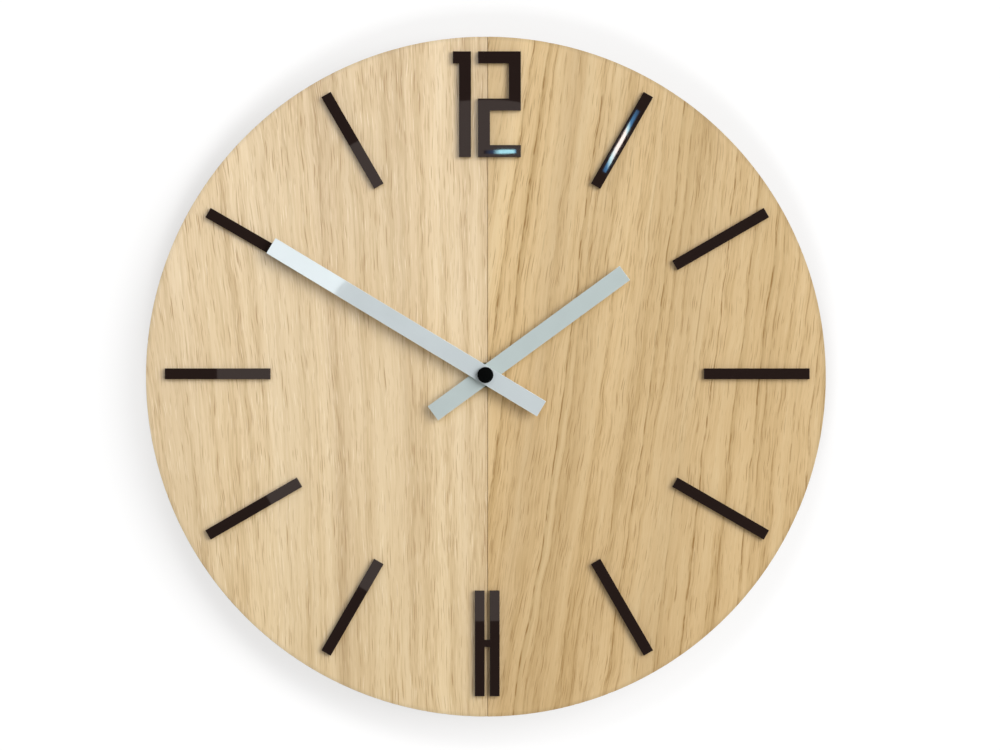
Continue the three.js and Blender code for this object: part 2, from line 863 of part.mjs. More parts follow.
// Spring washer that presses the centre wheel, so that the hands can be set
function clutchSpring() {
  const spring = layer(arborRear, clutchThickness);
  const arms = Array.from({ length: clutchArms }, (_, arm) => {
    const angle = (arm / clutchArms) * fullTurn;
    const across = clutchArmWidth / 2;
    const corner = (side, distance) => onClock(angle + quarterTurn, side, onClock(angle, distance));
    const outline = [
      corner(-across, 0),
      corner(across, 0),
      corner(across, clutchRadius),
      corner(-across, clutchRadius),
    ];
    return slab(outline, spring.near, spring.far);
  });
  const ring = disc(hubRadius, spring.near, spring.far);
  return cut(join(ring, ...arms), throughBore(arborRearRadius + pressGap, spring));
}

function thirdWheel() {
  return join(
    wheel(thirdTeeth, thirdModule, thirdTurn, thirdPlate),
    pinion(pinionTeeth, centreModule, thirdTurn, centrePlate),
    trainSpindle(),
  );
}

function secondsWheel() {
  return join(
    wheel(secondsTeeth, secondsModule, 0, secondsPlate),
    pinion(pinionTeeth, thirdModule, 0, thirdPlate),
    trainSpindle(trainRear, thirdPlate.far + faceOverlap),
  );
}

function fifthWheel() {
  return join(
    wheel(fifthTeeth, fifthModule, fifthTurn, fifthPlate),
    pinion(pinionTeeth, secondsModule, fifthTurn, secondsPlate),
    trainSpindle(),
  );
}

const statorPlate = layer(thirdPlate.near, statorThickness);
const magnetMiddle = (statorPlate.near + statorPlate.far) / 2;
const magnet = layer(magnetMiddle - magnetThickness / 2, magnetThickness);

function rotor() {
  return join(
    pinion(pinionTeeth, fifthModule, rotorTurn, fifthPlate),
    disc(magnetHubRadius, magnet.near - seatGap, magnet.far + seatGap),
    trainSpindle(trainRear, trainFront, magnetHubRadius / 2),
  );
}

function rotorMagnet() {
  const ring = disc(magnetRadius, magnet.near, magnet.far);
  return cut(ring, throughBore(magnetHubRadius + pressGap, magnet));
}

function works() {
  const group = new THREE.Group();
  group.add(piece("minute_arbor", minuteArbor(), steel));
  group.add(piece("hour_wheel", hourWheel(), whitePlastic));
  group.add(piece("intermediate_wheel", intermediateWheel(), whitePlastic, intermediateAxis));
  group.add(piece("setting_pinion", settingPinion(), whitePlastic, settingAxis));
  group.add(piece("setting_knob", settingKnob(), blackPlastic, settingAxis));
  group.add(piece("centre_wheel", centreWheel(), whitePlastic));
  group.add(piece("clutch_spring", clutchSpring(), steel));
  group.add(piece("third_wheel", thirdWheel(), whitePlastic, thirdAxis));
  group.add(piece("seconds_wheel", secondsWheel(), whitePlastic));
  group.add(piece("fifth_wheel", fifthWheel(), whitePlastic, fifthAxis));
  group.add(piece("rotor", rotor(), whitePlastic, rotorAxis));
  group.add(piece("rotor_magnet", rotorMagnet(), magnetGrey, rotorAxis));
  return group;
}

// Motor: the stator's two arms reach to a coil that stands upright beside the rotor
const coilX = innerHalf - coilInset;
const statorMiddle = rotorAxis[1];
const armTop = statorMiddle + statorSpan / 2;
const armBottom = statorMiddle - statorSpan / 2;
const statorArmHeights = [armTop - statorArmWidth / 2, armBottom + statorArmWidth / 2];
const statorRadius = magnetRadius + airGap + statorWall;
const armRight = coilX + coreWidth;
const armPostX = rotorAxis[0];

function stator() {
  const { near, far } = statorPlate;
  const bodyHalf = statorArmWidth / 2;
  return cut(
    join(
      slab(rectangle(armPostX - bodyHalf, armPostX + bodyHalf, armBottom, armTop), near, far),
      disc(statorRadius, near, far, rotorAxis),
      slab(rectangle(armPostX, armRight, armTop - statorArmWidth, armTop), near, far),
      slab(rectangle(armPostX, armRight, armBottom, armBottom + statorArmWidth), near, far),
    ),
    disc(magnetRadius + airGap, near - overrun, far + overrun, rotorAxis),
  );
}

const coreBar = layer(statorPlate.near - seatGap - coreBarThickness, coreBarThickness);
const coilMiddle = (coreBar.near + coreBar.far) / 2;
const bobbinLength = statorSpan - 2 * (statorArmWidth + bobbinFlange);
const bobbinBoreX = coreWidth / 2 + bobbinClearance;
const bobbinBoreY = coreBarThickness / 2 + bobbinClearance;
const bobbinTubeRadius = Math.hypot(bobbinBoreX, bobbinBoreY) + bobbinWall;

function coilCore() {
  const half = coreWidth / 2;
  return slab(rectangle(coilX - half, coilX + half, armBottom, armTop), coreBar.near, coreBar.far);
}

// Bobbin and winding are turned about an axis that the meshes then stand upright
function coilBobbin() {
  const half = bobbinLength / 2;
  const spool = turned(
    [
      [bobbinRadius, half],
      [bobbinTubeRadius, half - bobbinFlange],
      [bobbinRadius, bobbinFlange - half],
    ],
    -half,
  );
  const bore = slab(
    rectangle(-bobbinBoreX, bobbinBoreX, -bobbinBoreY, bobbinBoreY),
    -half - overrun,
    half + overrun,
  );
  return cut(spool, bore);
}

function coilWinding() {
  const half = bobbinLength / 2 - bobbinFlange - windingGap;
  const inner = bobbinTubeRadius + windingGap;
  return cut(disc(windingRadius, -half, half), disc(inner, -half - overrun, half + overrun));
}

function motor() {
  const group = new THREE.Group();
  group.add(piece("stator", stator(), steel));
  group.add(piece("coil_core", coilCore(), steel));
  const coil = new THREE.Group();
  coil.add(piece("coil_bobbin", coilBobbin(), whitePlastic));
  coil.add(piece("coil_winding", coilWinding(), copper));
  coil.rotation.x = quarterTurn;
  coil.position.set(coilX, -coilMiddle, statorMiddle);
  group.add(coil);
  return group;
}

// Circuit board in the upper left corner, against the bridge plate
function circuit() {
  const group = new THREE.Group();
  const left = -innerHalf + boardInset;
  const top = innerHalf - boardInset;
  const board = layer(bridge.near - seatGap - boardThickness, boardThickness);
  const outline = rectangle(left, left + boardWidth, top - boardHeight, top);
  group.add(piece("circuit_board", slab(outline, board.near, board.far), boardGreen));
  const chipRear = board.near - seatGap - chipHeight;
  const chip = turned(
    [
      [chipRadius, board.near - seatGap],
      [chipRadius * chipTaperShare, chipRear + chipHeight / 2],
    ],
    chipRear,
  );
  const middle = top - boardHeight / 2;
  group.add(piece("chip", chip, blackPlastic, [left + boardWidth / 4, middle]));
  const crystal = piece("quartz_crystal", disc(crystalRadius, 0, crystalLength), steel);
  crystal.rotation.x = quarterTurn;
  crystal.position.set(
    left + (boardWidth * 3) / 4,
    seatGap + crystalRadius - board.near,
    middle + crystalLength / 2,
  );
  group.add(crystal);
  return group;
}

// Battery on its side, with the positive nub to the right, and a contact at each end
const cellEnd = cellLength / 2;
const contactFace = innerHalf - runningClearance - contactThickness;
const cellX = contactFace - contactGap - nubLength - cellEnd;
const batteryMiddle = -innerHalf + runningClearance + cellRadius;
const contactSlotDepth = contactThickness + 2 * runningClearance;
const contactTabLayer = layer(bridge.near - contactTabWidth, contactTabWidth);

function batteryCell() {
  const cell = turned(
    [
      [nubRadius, cellEnd + nubLength],
      [cellRadius - cellGroove, cellEnd],
      [cellRadius, cellEnd - cellGroove],
      [cellRadius - cellGroove, cellGroove - cellEnd],
    ],
    -cellEnd,
    visibleSides,
  );
  const mesh = piece("battery", cell, cellSleeve);
  mesh.rotation.z = quarterTurn;
  mesh.position.set(cellX, -cellMiddle, batteryMiddle);
  return mesh;
}

// A strip of spring steel on the end wall of the bay, with a tab up into the room of the works
function contact(side) {
  const outer = side * (innerHalf - runningClearance);
  const inner = side * contactFace;
  const left = Math.min(outer, inner);
  const right = Math.max(outer, inner);
  const low = batteryMiddle - contactWidth / 2;
  const high = batteryMiddle + contactWidth / 2;
  const near = cellMiddle - contactWidth / 2;
  const far = cellMiddle + contactWidth / 2;
  const tabTop = worksBottom + contactTab;
  const strip = slab(rectangle(left, right, low, high), near, far);
  const tab = slab(
    rectangle(left, right, high - contactThickness, tabTop),
    contactTabLayer.near,
    contactTabLayer.far - runningClearance,
  );
  return join(strip, tab);
}

// The negative contact has a bowed leaf that presses the battery towards the other one
function negativeContact() {
  const leafFace = leafBow - contactFace;
  const leaf = slab(
    [
      [-contactFace - contactThickness / 2, batteryMiddle - contactWidth / 2],
      [-contactFace - contactThickness / 2, batteryMiddle + contactWidth / 2],
      [leafFace, batteryMiddle + contactWidth / 4],
      [leafFace, batteryMiddle - contactWidth / 4],
    ],
    cellMiddle - contactTabWidth / 2,
    cellMiddle + contactTabWidth / 2,
  );
  return join(contact(-1), leaf);
}

function power() {
  const group = new THREE.Group();
  group.add(batteryCell());
  group.add(piece("contact_negative", negativeContact(), steel));
  group.add(piece("contact_positive", contact(1), steel));
  return group;
}

const clock = new THREE.Group();
clock.add(dial(), hourMarks(), hands(), clampingPieces(), movementCase());
clock.add(works(), motor(), circuit(), power());

export default clock;
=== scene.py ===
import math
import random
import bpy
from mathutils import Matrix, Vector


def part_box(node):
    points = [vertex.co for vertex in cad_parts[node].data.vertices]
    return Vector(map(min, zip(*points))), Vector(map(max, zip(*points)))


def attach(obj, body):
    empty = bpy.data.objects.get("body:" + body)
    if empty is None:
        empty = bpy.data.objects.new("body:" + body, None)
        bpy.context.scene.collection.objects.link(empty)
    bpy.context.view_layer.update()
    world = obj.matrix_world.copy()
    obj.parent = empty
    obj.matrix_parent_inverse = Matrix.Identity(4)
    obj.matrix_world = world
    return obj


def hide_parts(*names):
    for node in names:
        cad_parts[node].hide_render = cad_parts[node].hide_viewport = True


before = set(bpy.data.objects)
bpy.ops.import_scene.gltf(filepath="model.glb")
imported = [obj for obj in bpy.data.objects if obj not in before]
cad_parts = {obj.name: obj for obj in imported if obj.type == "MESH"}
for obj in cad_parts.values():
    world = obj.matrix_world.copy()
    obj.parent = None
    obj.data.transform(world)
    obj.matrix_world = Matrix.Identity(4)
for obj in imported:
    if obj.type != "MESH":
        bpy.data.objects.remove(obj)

# %% [markdown]
# # A round wooden wall clock
# The clock is a disc of board faced with two leaves of oak veneer. Black acrylic bars and figures
# are glued on it, and a battery movement behind it turns two plain grey hands.
# The solids of every piece are loaded above. Here the visible ones get their final edges and
# finishes, or give way to a finer mesh. Lengths are written in millimetres, as on a drawing, and
# a "distance" is measured from the wall towards the room, so it lies at y = -distance. Only what
# a shader reads is in metres, because its coordinates are.

# %% Units and the box of the solids
from types import SimpleNamespace

import bmesh
import bpy
from mathutils import Matrix, Vector, noise

MM = 0.001
DIGITS = 3  # sizes read from a solid are rounded to a thousandth of a millimetre
FULL_TURN = 2 * math.pi
HOURS_PER_TURN = 12
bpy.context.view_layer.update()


def at(x, distance, z):
    """The place of a point, from millimetres right of the hands' axis, off the wall and above it."""
    return Vector((x * MM, -distance * MM, z * MM))


def on_clock(angle, radius, centre=(0, 0)):
    """x and z of a point at a clock angle in radians, clockwise from twelve."""
    return centre[0] + radius * math.sin(angle), centre[1] + radius * math.cos(angle)


def solid(node):
    """The sides of a solid at rest, in millimetres. Near and far are distances from the wall."""
    low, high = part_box(node)
    sides = {"left": low[0], "right": high[0], "near": -high[1], "far": -low[1]}
    sides.update(low=low[2], high=high[2])
    return SimpleNamespace(**{side: round(value / MM, DIGITS) for side, value in sides.items()})


def middle(piece):
    """x and z of the middle of a solid, from its sides."""
    return (piece.left + piece.right) / 2, (piece.low + piece.high) / 2


# %% [markdown]
# ## Camera
# A photograph for a catalogue is taken straight on with a long lens, so that a round dial stays
# round. The camera could be aimed with a constraint, but a plain place and turn can be read off
# and checked: it looks along +Y, a little right of the hands' axis, because the dial hangs left of
# the middle of the picture.

# %% Camera
VIEW_DISTANCE = 2000  # from the camera to the face of the dial
VIEW_WIDTH = 500  # of the dial's plane that the picture shows
SENSOR_WIDTH = 36
CAMERA_X = 7.27  # right of the hands' axis
FACE = solid("veneer_left").far  # the face of the dial

camera_data = bpy.data.cameras.new("camera")
camera_data.sensor_width = SENSOR_WIDTH
camera_data.lens = SENSOR_WIDTH * VIEW_DISTANCE / VIEW_WIDTH
camera = bpy.data.objects.new("camera", camera_data)
camera.location = at(CAMERA_X, FACE + VIEW_DISTANCE, 0)
camera.rotation_euler = (math.pi / 2, 0, 0)
bpy.context.scene.collection.objects.link(camera)
bpy.context.scene.camera = camera
bpy.context.scene.view_settings.view_transform = "Standard"
print("lens:", camera_data.lens, "mm")

# %% [markdown]
# ## Building with nodes
# A material is a small network. Written out call by call it hides what it does, so a few helpers
# add a node, link it and give back its output. A value that is a socket is linked, and any other
# value is set.

# %% Helpers for nodes and numbers
def add(tree, kind, sockets=None, **settings):
    """A new shader node with its settings, and its sockets set or linked."""
    made = tree.nodes.new("ShaderNode" + kind)
    for title, value in settings.items():
        setattr(made, title, value)
    for title, value in (sockets or {}).items():
        if isinstance(value, bpy.types.NodeSocket):
            tree.links.new(value, made.inputs[title])
        else:
            made.inputs[title].default_value = value
    return made


def maths(tree, operation, *values):
    """The result of one calculation with one to three values."""
    return add(tree, "Math", dict(enumerate(values)), operation=operation).outputs[0]


def between(tree, value, low, high, start=0, end=1):
    """Start below low, end above high, and a smooth step in between."""
    sockets = {"Value": value, "From Min": low, "From Max": high, "To Min": start, "To Max": end}
    made = add(tree, "MapRange", sockets, interpolation_type="SMOOTHSTEP")
    return made.outputs["Result"]


def hill(tree, value, foot, top, brow, end):
    """Zero below foot, one from top to brow, and zero again above end."""
    rise = between(tree, value, foot, top)
    return maths(tree, "MULTIPLY", rise, between(tree, value, brow, end, 1, 0))


print("helpers for nodes and numbers")

# %% Helpers for places and colours
def parts(tree, vector):
    """The X, Y and Z of a vector or a colour."""
    return add(tree, "SeparateXYZ", {0: vector}).outputs


def own_place(tree):
    """Where a point lies in the object's own coordinates."""
    return add(tree, "TexCoord").outputs["Object"]


def ramp(tree, value, stops):
    """A colour for each value, from a list of (place, colour)."""
    made = add(tree, "ValToRGB", {"Fac": value})
    elements = made.color_ramp.elements
    elements[0].position = stops[0][0]
    elements[1].position = stops[-1][0]
    for place, _ in stops[1:-1]:
        elements.new(place)
    for element, (_, colour) in zip(elements, stops):
        element.color = (*colour, 1)
    return made.outputs["Color"]


def mixed(tree, share, first, second, kind="MIX"):
    """Two colours mixed by a share from 0 to 1."""
    sockets = {"Factor": share, "A": first, "B": second}
    made = tree.nodes.new("ShaderNodeMix")
    made.data_type = "RGBA"
    made.blend_type = kind
    for title, value in sockets.items():
        socket = [s for s in made.inputs if s.name == title and s.enabled][0]
        if isinstance(value, bpy.types.NodeSocket):
            tree.links.new(value, socket)
        else:
            socket.default_value = value
    return [s for s in made.outputs if s.enabled][0]


print("helpers for places and colours")

# %% Colours of a screen
SCREEN_WHITE = 255
CURVE_FOOT = 0.04045  # the curve of a screen is a straight line up to here
CURVE_SLOPE = 12.92
CURVE_SHIFT = 0.055
CURVE_POWER = 2.4
WHITE = (1, 1, 1)  # it leaves a colour as it is when it multiplies it


def straightened(level):
    """One channel of a screen's colour, from 0 to 1, as an amount of light."""
    if level <= CURVE_FOOT:
        return level / CURVE_SLOPE
    return ((level + CURVE_SHIFT) / (1 + CURVE_SHIFT)) ** CURVE_POWER


def linear(red, green, blue):
    """A colour as the shader wants it, from the 0 to 255 of a screen."""
    return tuple(straightened(channel / SCREEN_WHITE) for channel in (red, green, blue))


def toned(colour, factor):
    """A colour made darker or lighter."""
    return tuple(min(1, channel * factor) for channel in colour)


# %% [markdown]
# ## Stage
# The clock hangs on a white wall in a bright studio. A wall lit by lamps alone would never be so
# even, so most of its white is a glow, and a smaller matt share takes the soft halo of shadow
# that the dial casts. The clock's own finishes don't see the wall. From behind it is clear, so
# that the back of the clock can be looked at. The pale floor lies well below.

# %% Finishes of the stage
WALL_MATT = 0.3
WALL_GLOW = 0.545
FLOOR_MATT = 0.5
FLOOR_GLOW = 0.5


def seen_plainly(tree):
    """One where the camera, a gloss or a clear finish looks at the surface, and else zero."""
    rays = add(tree, "LightPath").outputs
    seen = maths(tree, "MAXIMUM", rays["Is Camera Ray"], rays["Is Glossy Ray"])
    return maths(tree, "MAXIMUM", seen, rays["Is Transmission Ray"])


def empty_material(title):
    """A material with nothing in its network yet."""
    made = bpy.data.materials.new(title)
    made.use_nodes = True
    made.node_tree.nodes.clear()
    return made


def stage_material(title, albedo, glow, clear_behind):
    """A matt white with a glow for the camera, for glossy and for clear finishes."""
    made = empty_material(title)
    tree = made.node_tree
    strength = maths(tree, "MULTIPLY", seen_plainly(tree), glow)
    matt = add(tree, "BsdfDiffuse", {"Color": (albedo, albedo, albedo, 1)})
    shine = add(tree, "Emission", {"Strength": strength})
    surface = add(tree, "AddShader", {0: matt.outputs[0], 1: shine.outputs[0]})
    if clear_behind:
        behind = add(tree, "NewGeometry").outputs["Backfacing"]
        clear = add(tree, "BsdfTransparent")
        sockets = {0: behind, 1: surface.outputs[0], 2: clear.outputs[0]}
        surface = add(tree, "MixShader", sockets)
    add(tree, "OutputMaterial", {"Surface": surface.outputs[0]})
    return made


wall_white = stage_material("wall_white", WALL_MATT, WALL_GLOW, clear_behind=True)
floor_pale = stage_material("floor_pale", FLOOR_MATT, FLOOR_GLOW, clear_behind=False)
print("finishes of the stage:", wall_white.name, floor_pale.name)

# %% Wall and floor
WALL_HALF = 2600
WALL_GAP = 0.4  # behind the clock, so that the two never share a plane
FLOOR_Z = -1000


def panel(title, corners, material):
    """One flat face through its corners, an object of its own in the scene."""
    mesh = bpy.data.meshes.new(title)
    mesh.from_pydata(corners, [], [tuple(range(len(corners)))])
    mesh.materials.append(material)
    made = bpy.data.objects.new(title, mesh)
    bpy.context.scene.collection.objects.link(made)
    return made


def square(half, distance):
    """Corners of an upright square that faces the room."""
    places = ((-half, -half), (half, -half), (half, half), (-half, half))
    return [at(x, distance, z) for x, z in places]


wall = panel("wall", square(WALL_HALF, -WALL_GAP), wall_white)
wall.visible_diffuse = False
wall.visible_glossy = False
floor_places = ((-WALL_HALF, 0), (-WALL_HALF, WALL_HALF), (WALL_HALF, WALL_HALF), (WALL_HALF, 0))
floor = panel("floor", [at(x, distance, FLOOR_Z) for x, distance in floor_places], floor_pale)
print("stage:", wall.name, floor.name)

# %% [markdown]
# ## Light
# One large soft box stands on the right and a little above, as the shadows beside the bars show,
# and the room fills the rest. Their sum lights the dial so that a colour renders about as it is
# written. Two washes, from below and from above, are linked to the wall alone, and give it the
# faint shade that it has over and under the disc too. Around the lens hang a black cloth and a
# pale ring, and a bright card hangs above. They touch no matt surface: polished acrylic and
# lacquer mirror the ring, which gives the bars their two tones with a sharp border, and oiled
# wood shows the card as a faint sheen on its upper half.

# %% Room light and soft box
ROOM_LEVEL = 0.46
KEY_PLACE = (2180, 3300, 890)  # x, distance and z
KEY_SIDE = 2700
KEY_LEVEL = 0.64  # of the light on the dial
WASH_DISTANCE = 1300
WASH_SIDE = 450
WASHES = [(-120, -740, 0.42), (-120, 800, 0.27)]  # x, z and level

world = bpy.data.worlds.new("room")
world.use_nodes = True
bpy.context.scene.world = world
room_tree = world.node_tree
room_strength = between(room_tree, seen_plainly(room_tree), 0, 1, ROOM_LEVEL, 1)
room_background = room_tree.nodes["Background"]
room_background.inputs["Color"].default_value = (*WHITE, 1)
room_tree.links.new(room_strength, room_background.inputs["Strength"])


def soft_box(title, place, side, level):
    """A square lamp that lights the middle of the dial to a level."""
    data = bpy.data.lights.new(title, "AREA")
    data.size = side * MM
    reach = place.length
    slant = -place.y / reach
    data.energy = level * math.pi * math.pi * reach**2 / slant
    made = bpy.data.objects.new(title, data)
    made.location = place
    made.rotation_euler = place.to_track_quat("Z", "Y").to_euler()
    made.visible_camera = False
    bpy.context.scene.collection.objects.link(made)
    return made


def shown_only_to(light, title, *receivers):
    """Links a light to a few objects and leaves all others without it."""
    group = bpy.data.collections.new(title)
    for receiver in receivers:
        group.objects.link(receiver)
    light.light_linking.receiver_collection = group


key = soft_box("soft_box", at(*KEY_PLACE), KEY_SIDE, KEY_LEVEL)
for x, z, level in WASHES:
    wash = soft_box(f"wall_wash_{z}", at(x, WASH_DISTANCE, z), WASH_SIDE, level)
    shown_only_to(wash, wash.name + "_reach", wall)
print("soft box:", round(key.data.energy, 1), "W")

# %% Cards that only glossy finishes see
def glow_material(title, level):
    """The finish of a card that gives off light of its own."""
    made = empty_material(title)
    shine = add(made.node_tree, "Emission", {"Strength": level})
    add(made.node_tree, "OutputMaterial", {"Surface": shine.outputs[0]})
    return made


def mirrored(x, z, distance):
    """Where a flat mirror at that place of the dial shows the camera a point in front of it."""
    spread = 1 + distance / VIEW_DISTANCE
    shift = CAMERA_X * distance / VIEW_DISTANCE
    return at(x * spread - shift, FACE + distance, z * spread)


def only_mirrored(shown):
    """Leaves an object of the stage to glossy finishes alone."""
    shown.visible_camera = False
    shown.visible_diffuse = False
    shown.visible_transmission = False
    shown.visible_shadow = False
    return shown


def card(title, corners, level):
    """A glowing card for glossy finishes."""
    return only_mirrored(panel(title, corners, glow_material(title, level)))


print("helpers for cards that only glossy finishes see")

# %% Black cloth, pale ring and bright card
RING_DISTANCE = 2600  # from the dial's face, for the bright card too
CLOTH_DISTANCE = 2700
CLOTH_HALF = 620
RING_INNER = 84  # radii of the ring's image on the dial
RING_OUTER = 128
RING_RIGHT = 35  # where the ring's image ends on the right
RING_STEPS = 96
RING_LEVEL = 0.86
SHEEN_LEFT = -760  # the bright card's image on the plane of the dial
SHEEN_RIGHT = 120
SHEEN_LOW = 190
SHEEN_HIGH = 800
SHEEN_LEVEL = 14


def ring_arc(radius):
    """Points of an open circle, from its upper end on the right round to its lower one."""
    end = math.acos(RING_RIGHT / radius)
    angles = [end + (FULL_TURN - 2 * end) * step / RING_STEPS for step in range(RING_STEPS + 1)]
    return [(radius * math.cos(angle), radius * math.sin(angle)) for angle in angles]


def imaged_at(places):
    """Corners of a card whose image has its corners at those places of the dial."""
    return [mirrored(x, z, RING_DISTANCE) for x, z in places]


cloth = card("black_cloth", square(CLOTH_HALF, FACE + CLOTH_DISTANCE), 0)
sheen_places = [(SHEEN_LEFT, SHEEN_LOW), (SHEEN_RIGHT, SHEEN_LOW)]
sheen_places += [(SHEEN_RIGHT, SHEEN_HIGH), (SHEEN_LEFT, SHEEN_HIGH)]
sheen_card = card("sheen_card", imaged_at(sheen_places), SHEEN_LEVEL)
ring_places = ring_arc(RING_OUTER) + ring_arc(RING_INNER)[::-1]
ring_card = card("pale_ring", imaged_at(ring_places), RING_LEVEL)
print("cards around the lens:", cloth.name, ring_card.name, sheen_card.name)

# %% [markdown]
# ## Effects that several finishes share
# Wood figure, moulded grain, brush marks and the slight tilt of a glued piece are node groups.
# Each works in the object's own coordinates, which are metres here, so a pore or a scratch has
# its real size. Painted images could do the same, but they would need unwrapping and would
# blur in a close view. A group only puts out values that vary over the surface, and the
# material decides what they mean.

# %% Helpers for effect groups
def new_effect(title, inputs, outputs):
    """An empty node group with number inputs, and its two ends to link to."""
    tree = bpy.data.node_groups.new(title, "ShaderNodeTree")
    for name, usual in inputs.items():
        socket = tree.interface.new_socket(name, in_out="INPUT", socket_type="NodeSocketFloat")
        socket.default_value = usual
    for name in outputs:
        tree.interface.new_socket(name, in_out="OUTPUT", socket_type="NodeSocketFloat")
    starts = tree.nodes.new("NodeGroupInput").outputs
    ends = tree.nodes.new("NodeGroupOutput").inputs
    return tree, starts, ends


def effect(tree, group, **values):
    """The outputs of an effect placed in a material with its own values."""
    sockets = {title.replace("_", " "): value for title, value in values.items()}
    return add(tree, "Group", sockets, node_tree=group).outputs


def scaled(tree, vector, x, y, z):
    """A place in other units, so that a pattern is stretched along an axis."""
    return add(tree, "Mapping", {"Vector": vector, "Scale": (x, y, z)}).outputs["Vector"]


def cloudy(tree, vector, detail=2, roughness=0.5):
    """Soft random values around a half."""
    sockets = {"Vector": vector, "Scale": 1, "Detail": detail, "Roughness": roughness}
    return add(tree, "TexNoise", sockets).outputs["Fac"]


def clouds(tree, per_metre, detail=2):
    """Soft clouds that lie the same way in all directions, so many to a metre."""
    place = scaled(tree, own_place(tree), per_metre, per_metre, per_metre)
    return cloudy(tree, place, detail)


def streaks(tree, vector, per_metre, stretch, roughness=0.5):
    """Soft random streaks that run along z."""
    stretched = scaled(tree, vector, per_metre, per_metre, per_metre / stretch)
    return cloudy(tree, stretched, roughness=roughness)


print("finishes of the stage, made without effects:", len(bpy.data.materials))

# %% [markdown]
# ## The figure of oak
# Oak shows several things at once: fine fibres, broader layers and bands, a dark porous line for
# each year, and pores cut open along their length, which show as short dashes. Each is a simple
# pattern in coordinates of its own, across and along the grain. The grain leans, fans out and
# wanders a little, and all the patterns bend with it, as they do in a board.

# %% Coordinates of the grain
SLOW_WANDER = (11, 11, 4)  # waves to a metre: across, in depth and along the grain
QUICK_WANDER = (70, 70, 30)
QUICK_SHARE = 0.3  # of the quick wander, beside the slow one

oak_figure, oak_in, oak_out = new_effect(
    "Oak figure",
    {"Lean": 0, "Fan": 0, "Wander": 0.01, "Seed": 0, "Rings": 1, "Pore length": 1},
    ["Across", "Tone", "Bands", "Pores", "Rings", "Flecks", "Height"],
)


def wander(tree, place, waves, detail):
    """A soft shift to either side."""
    return maths(tree, "SUBTRACT", cloudy(tree, scaled(tree, place, *waves), detail), 0.5)


def grain_coordinates(tree):
    """How far a point lies across and along the grain, and across it before the seed is added."""
    place = parts(tree, own_place(tree))
    lean = maths(tree, "MULTIPLY_ADD", place["X"], oak_in["Fan"], oak_in["Lean"])
    straight = maths(tree, "MULTIPLY_ADD", maths(tree, "MULTIPLY", lean, -1), place["Z"], place["X"])
    along = maths(tree, "ADD", place["Z"], oak_in["Seed"])
    sockets = {"X": maths(tree, "ADD", straight, oak_in["Seed"]), "Z": along}
    grown = add(tree, "CombineXYZ", sockets).outputs[0]
    slow = wander(tree, grown, SLOW_WANDER, detail=1)
    quick = wander(tree, grown, QUICK_WANDER, detail=2)
    both = maths(tree, "MULTIPLY_ADD", quick, QUICK_SHARE, slow)
    unseeded = maths(tree, "ADD", straight, maths(tree, "MULTIPLY", both, oak_in["Wander"]))
    return maths(tree, "ADD", unseeded, oak_in["Seed"]), along, unseeded


print("oak figure:", oak_in.keys(), "give", oak_out.keys())

# %% [markdown]
# In spring an oak grows porous wood, and on a cut face it shows as a darker band that starts with
# a thin broken line. A texture of random cells in one dimension counts the years, so they are of
# unequal width and each can have a strength of its own.

# %% Years
YEARS_PER_METRE = 135
EARLY_WOOD = (-0.1, 0, 0, 0.45)  # foot, top, brow and end of the porous wood, in years
YEAR_LINE = (-0.05, 0, 0.01, 0.1)
YEAR_LUCK = (0.1, 0.9)  # random values, from the faintest to the strongest year
YEAR_STRENGTH = (0.25, 1)
BREAKS = (500, 5)  # streaks to a metre that break the lines, and how many times longer than wide
BREAK_VALUES = (0.42, 0.6)
BREAK_STRENGTH = (0.1, 0.85)


def year_lines(tree, across, grain):
    """The porous wood that starts each year, and the broken dark line in front of it."""
    counted = maths(tree, "MULTIPLY", across, YEARS_PER_METRE)
    years = add(tree, "TexVoronoi", {"W": counted, "Scale": 1}, voronoi_dimensions="1D").outputs
    past = maths(tree, "SUBTRACT", counted, years["W"])
    luck = between(tree, parts(tree, years["Color"])["X"], *YEAR_LUCK, *YEAR_STRENGTH)
    weight = maths(tree, "MULTIPLY", luck, oak_in["Rings"])
    broken = between(tree, streaks(tree, grain, *BREAKS), *BREAK_VALUES, *BREAK_STRENGTH)
    line = maths(tree, "MULTIPLY", hill(tree, past, *YEAR_LINE), broken)
    early = maths(tree, "MULTIPLY", hill(tree, past, *EARLY_WOOD), weight)
    return early, maths(tree, "MULTIPLY", line, weight)


print("a year is about", round(1 / (YEARS_PER_METRE * MM), 1), "mm wide")

# %% [markdown]
# A pore is a thin tube, so a cut along it is a dash. A texture of random cells places the dashes,
# because each cell can keep a mark of its own, be it faint, strong or missing. A noise stretched
# along the grain would only give soft streaks.

# %% Pores and flecks
LARGE_PORE = (0.0014, 0.042)  # width and length of the cell of one dash, in metres
MEDIUM_PORE = (0.001, 0.026)
SMALL_PORE = (0.0008, 0.014)
FLECK = (0.0011, 0.026)
LAYER_VALUES = (0.38, 0.58)
EMPTY_IN_LAYERS = (0.1, 0.85)  # share of cells without a dash, from dark to pale layers
EARLY_FILLS = 0.6  # is taken off that share in the porous wood
EMPTY_SMALL = 0.45
EMPTY_FLECKS = 0.55
SMALL_STRENGTH = 0.5
DASH_FAINTEST = 0.35
DASH_CORE = 0.1  # a dash fades between these two distances from its middle, in cells
DASH_EDGE = 0.2


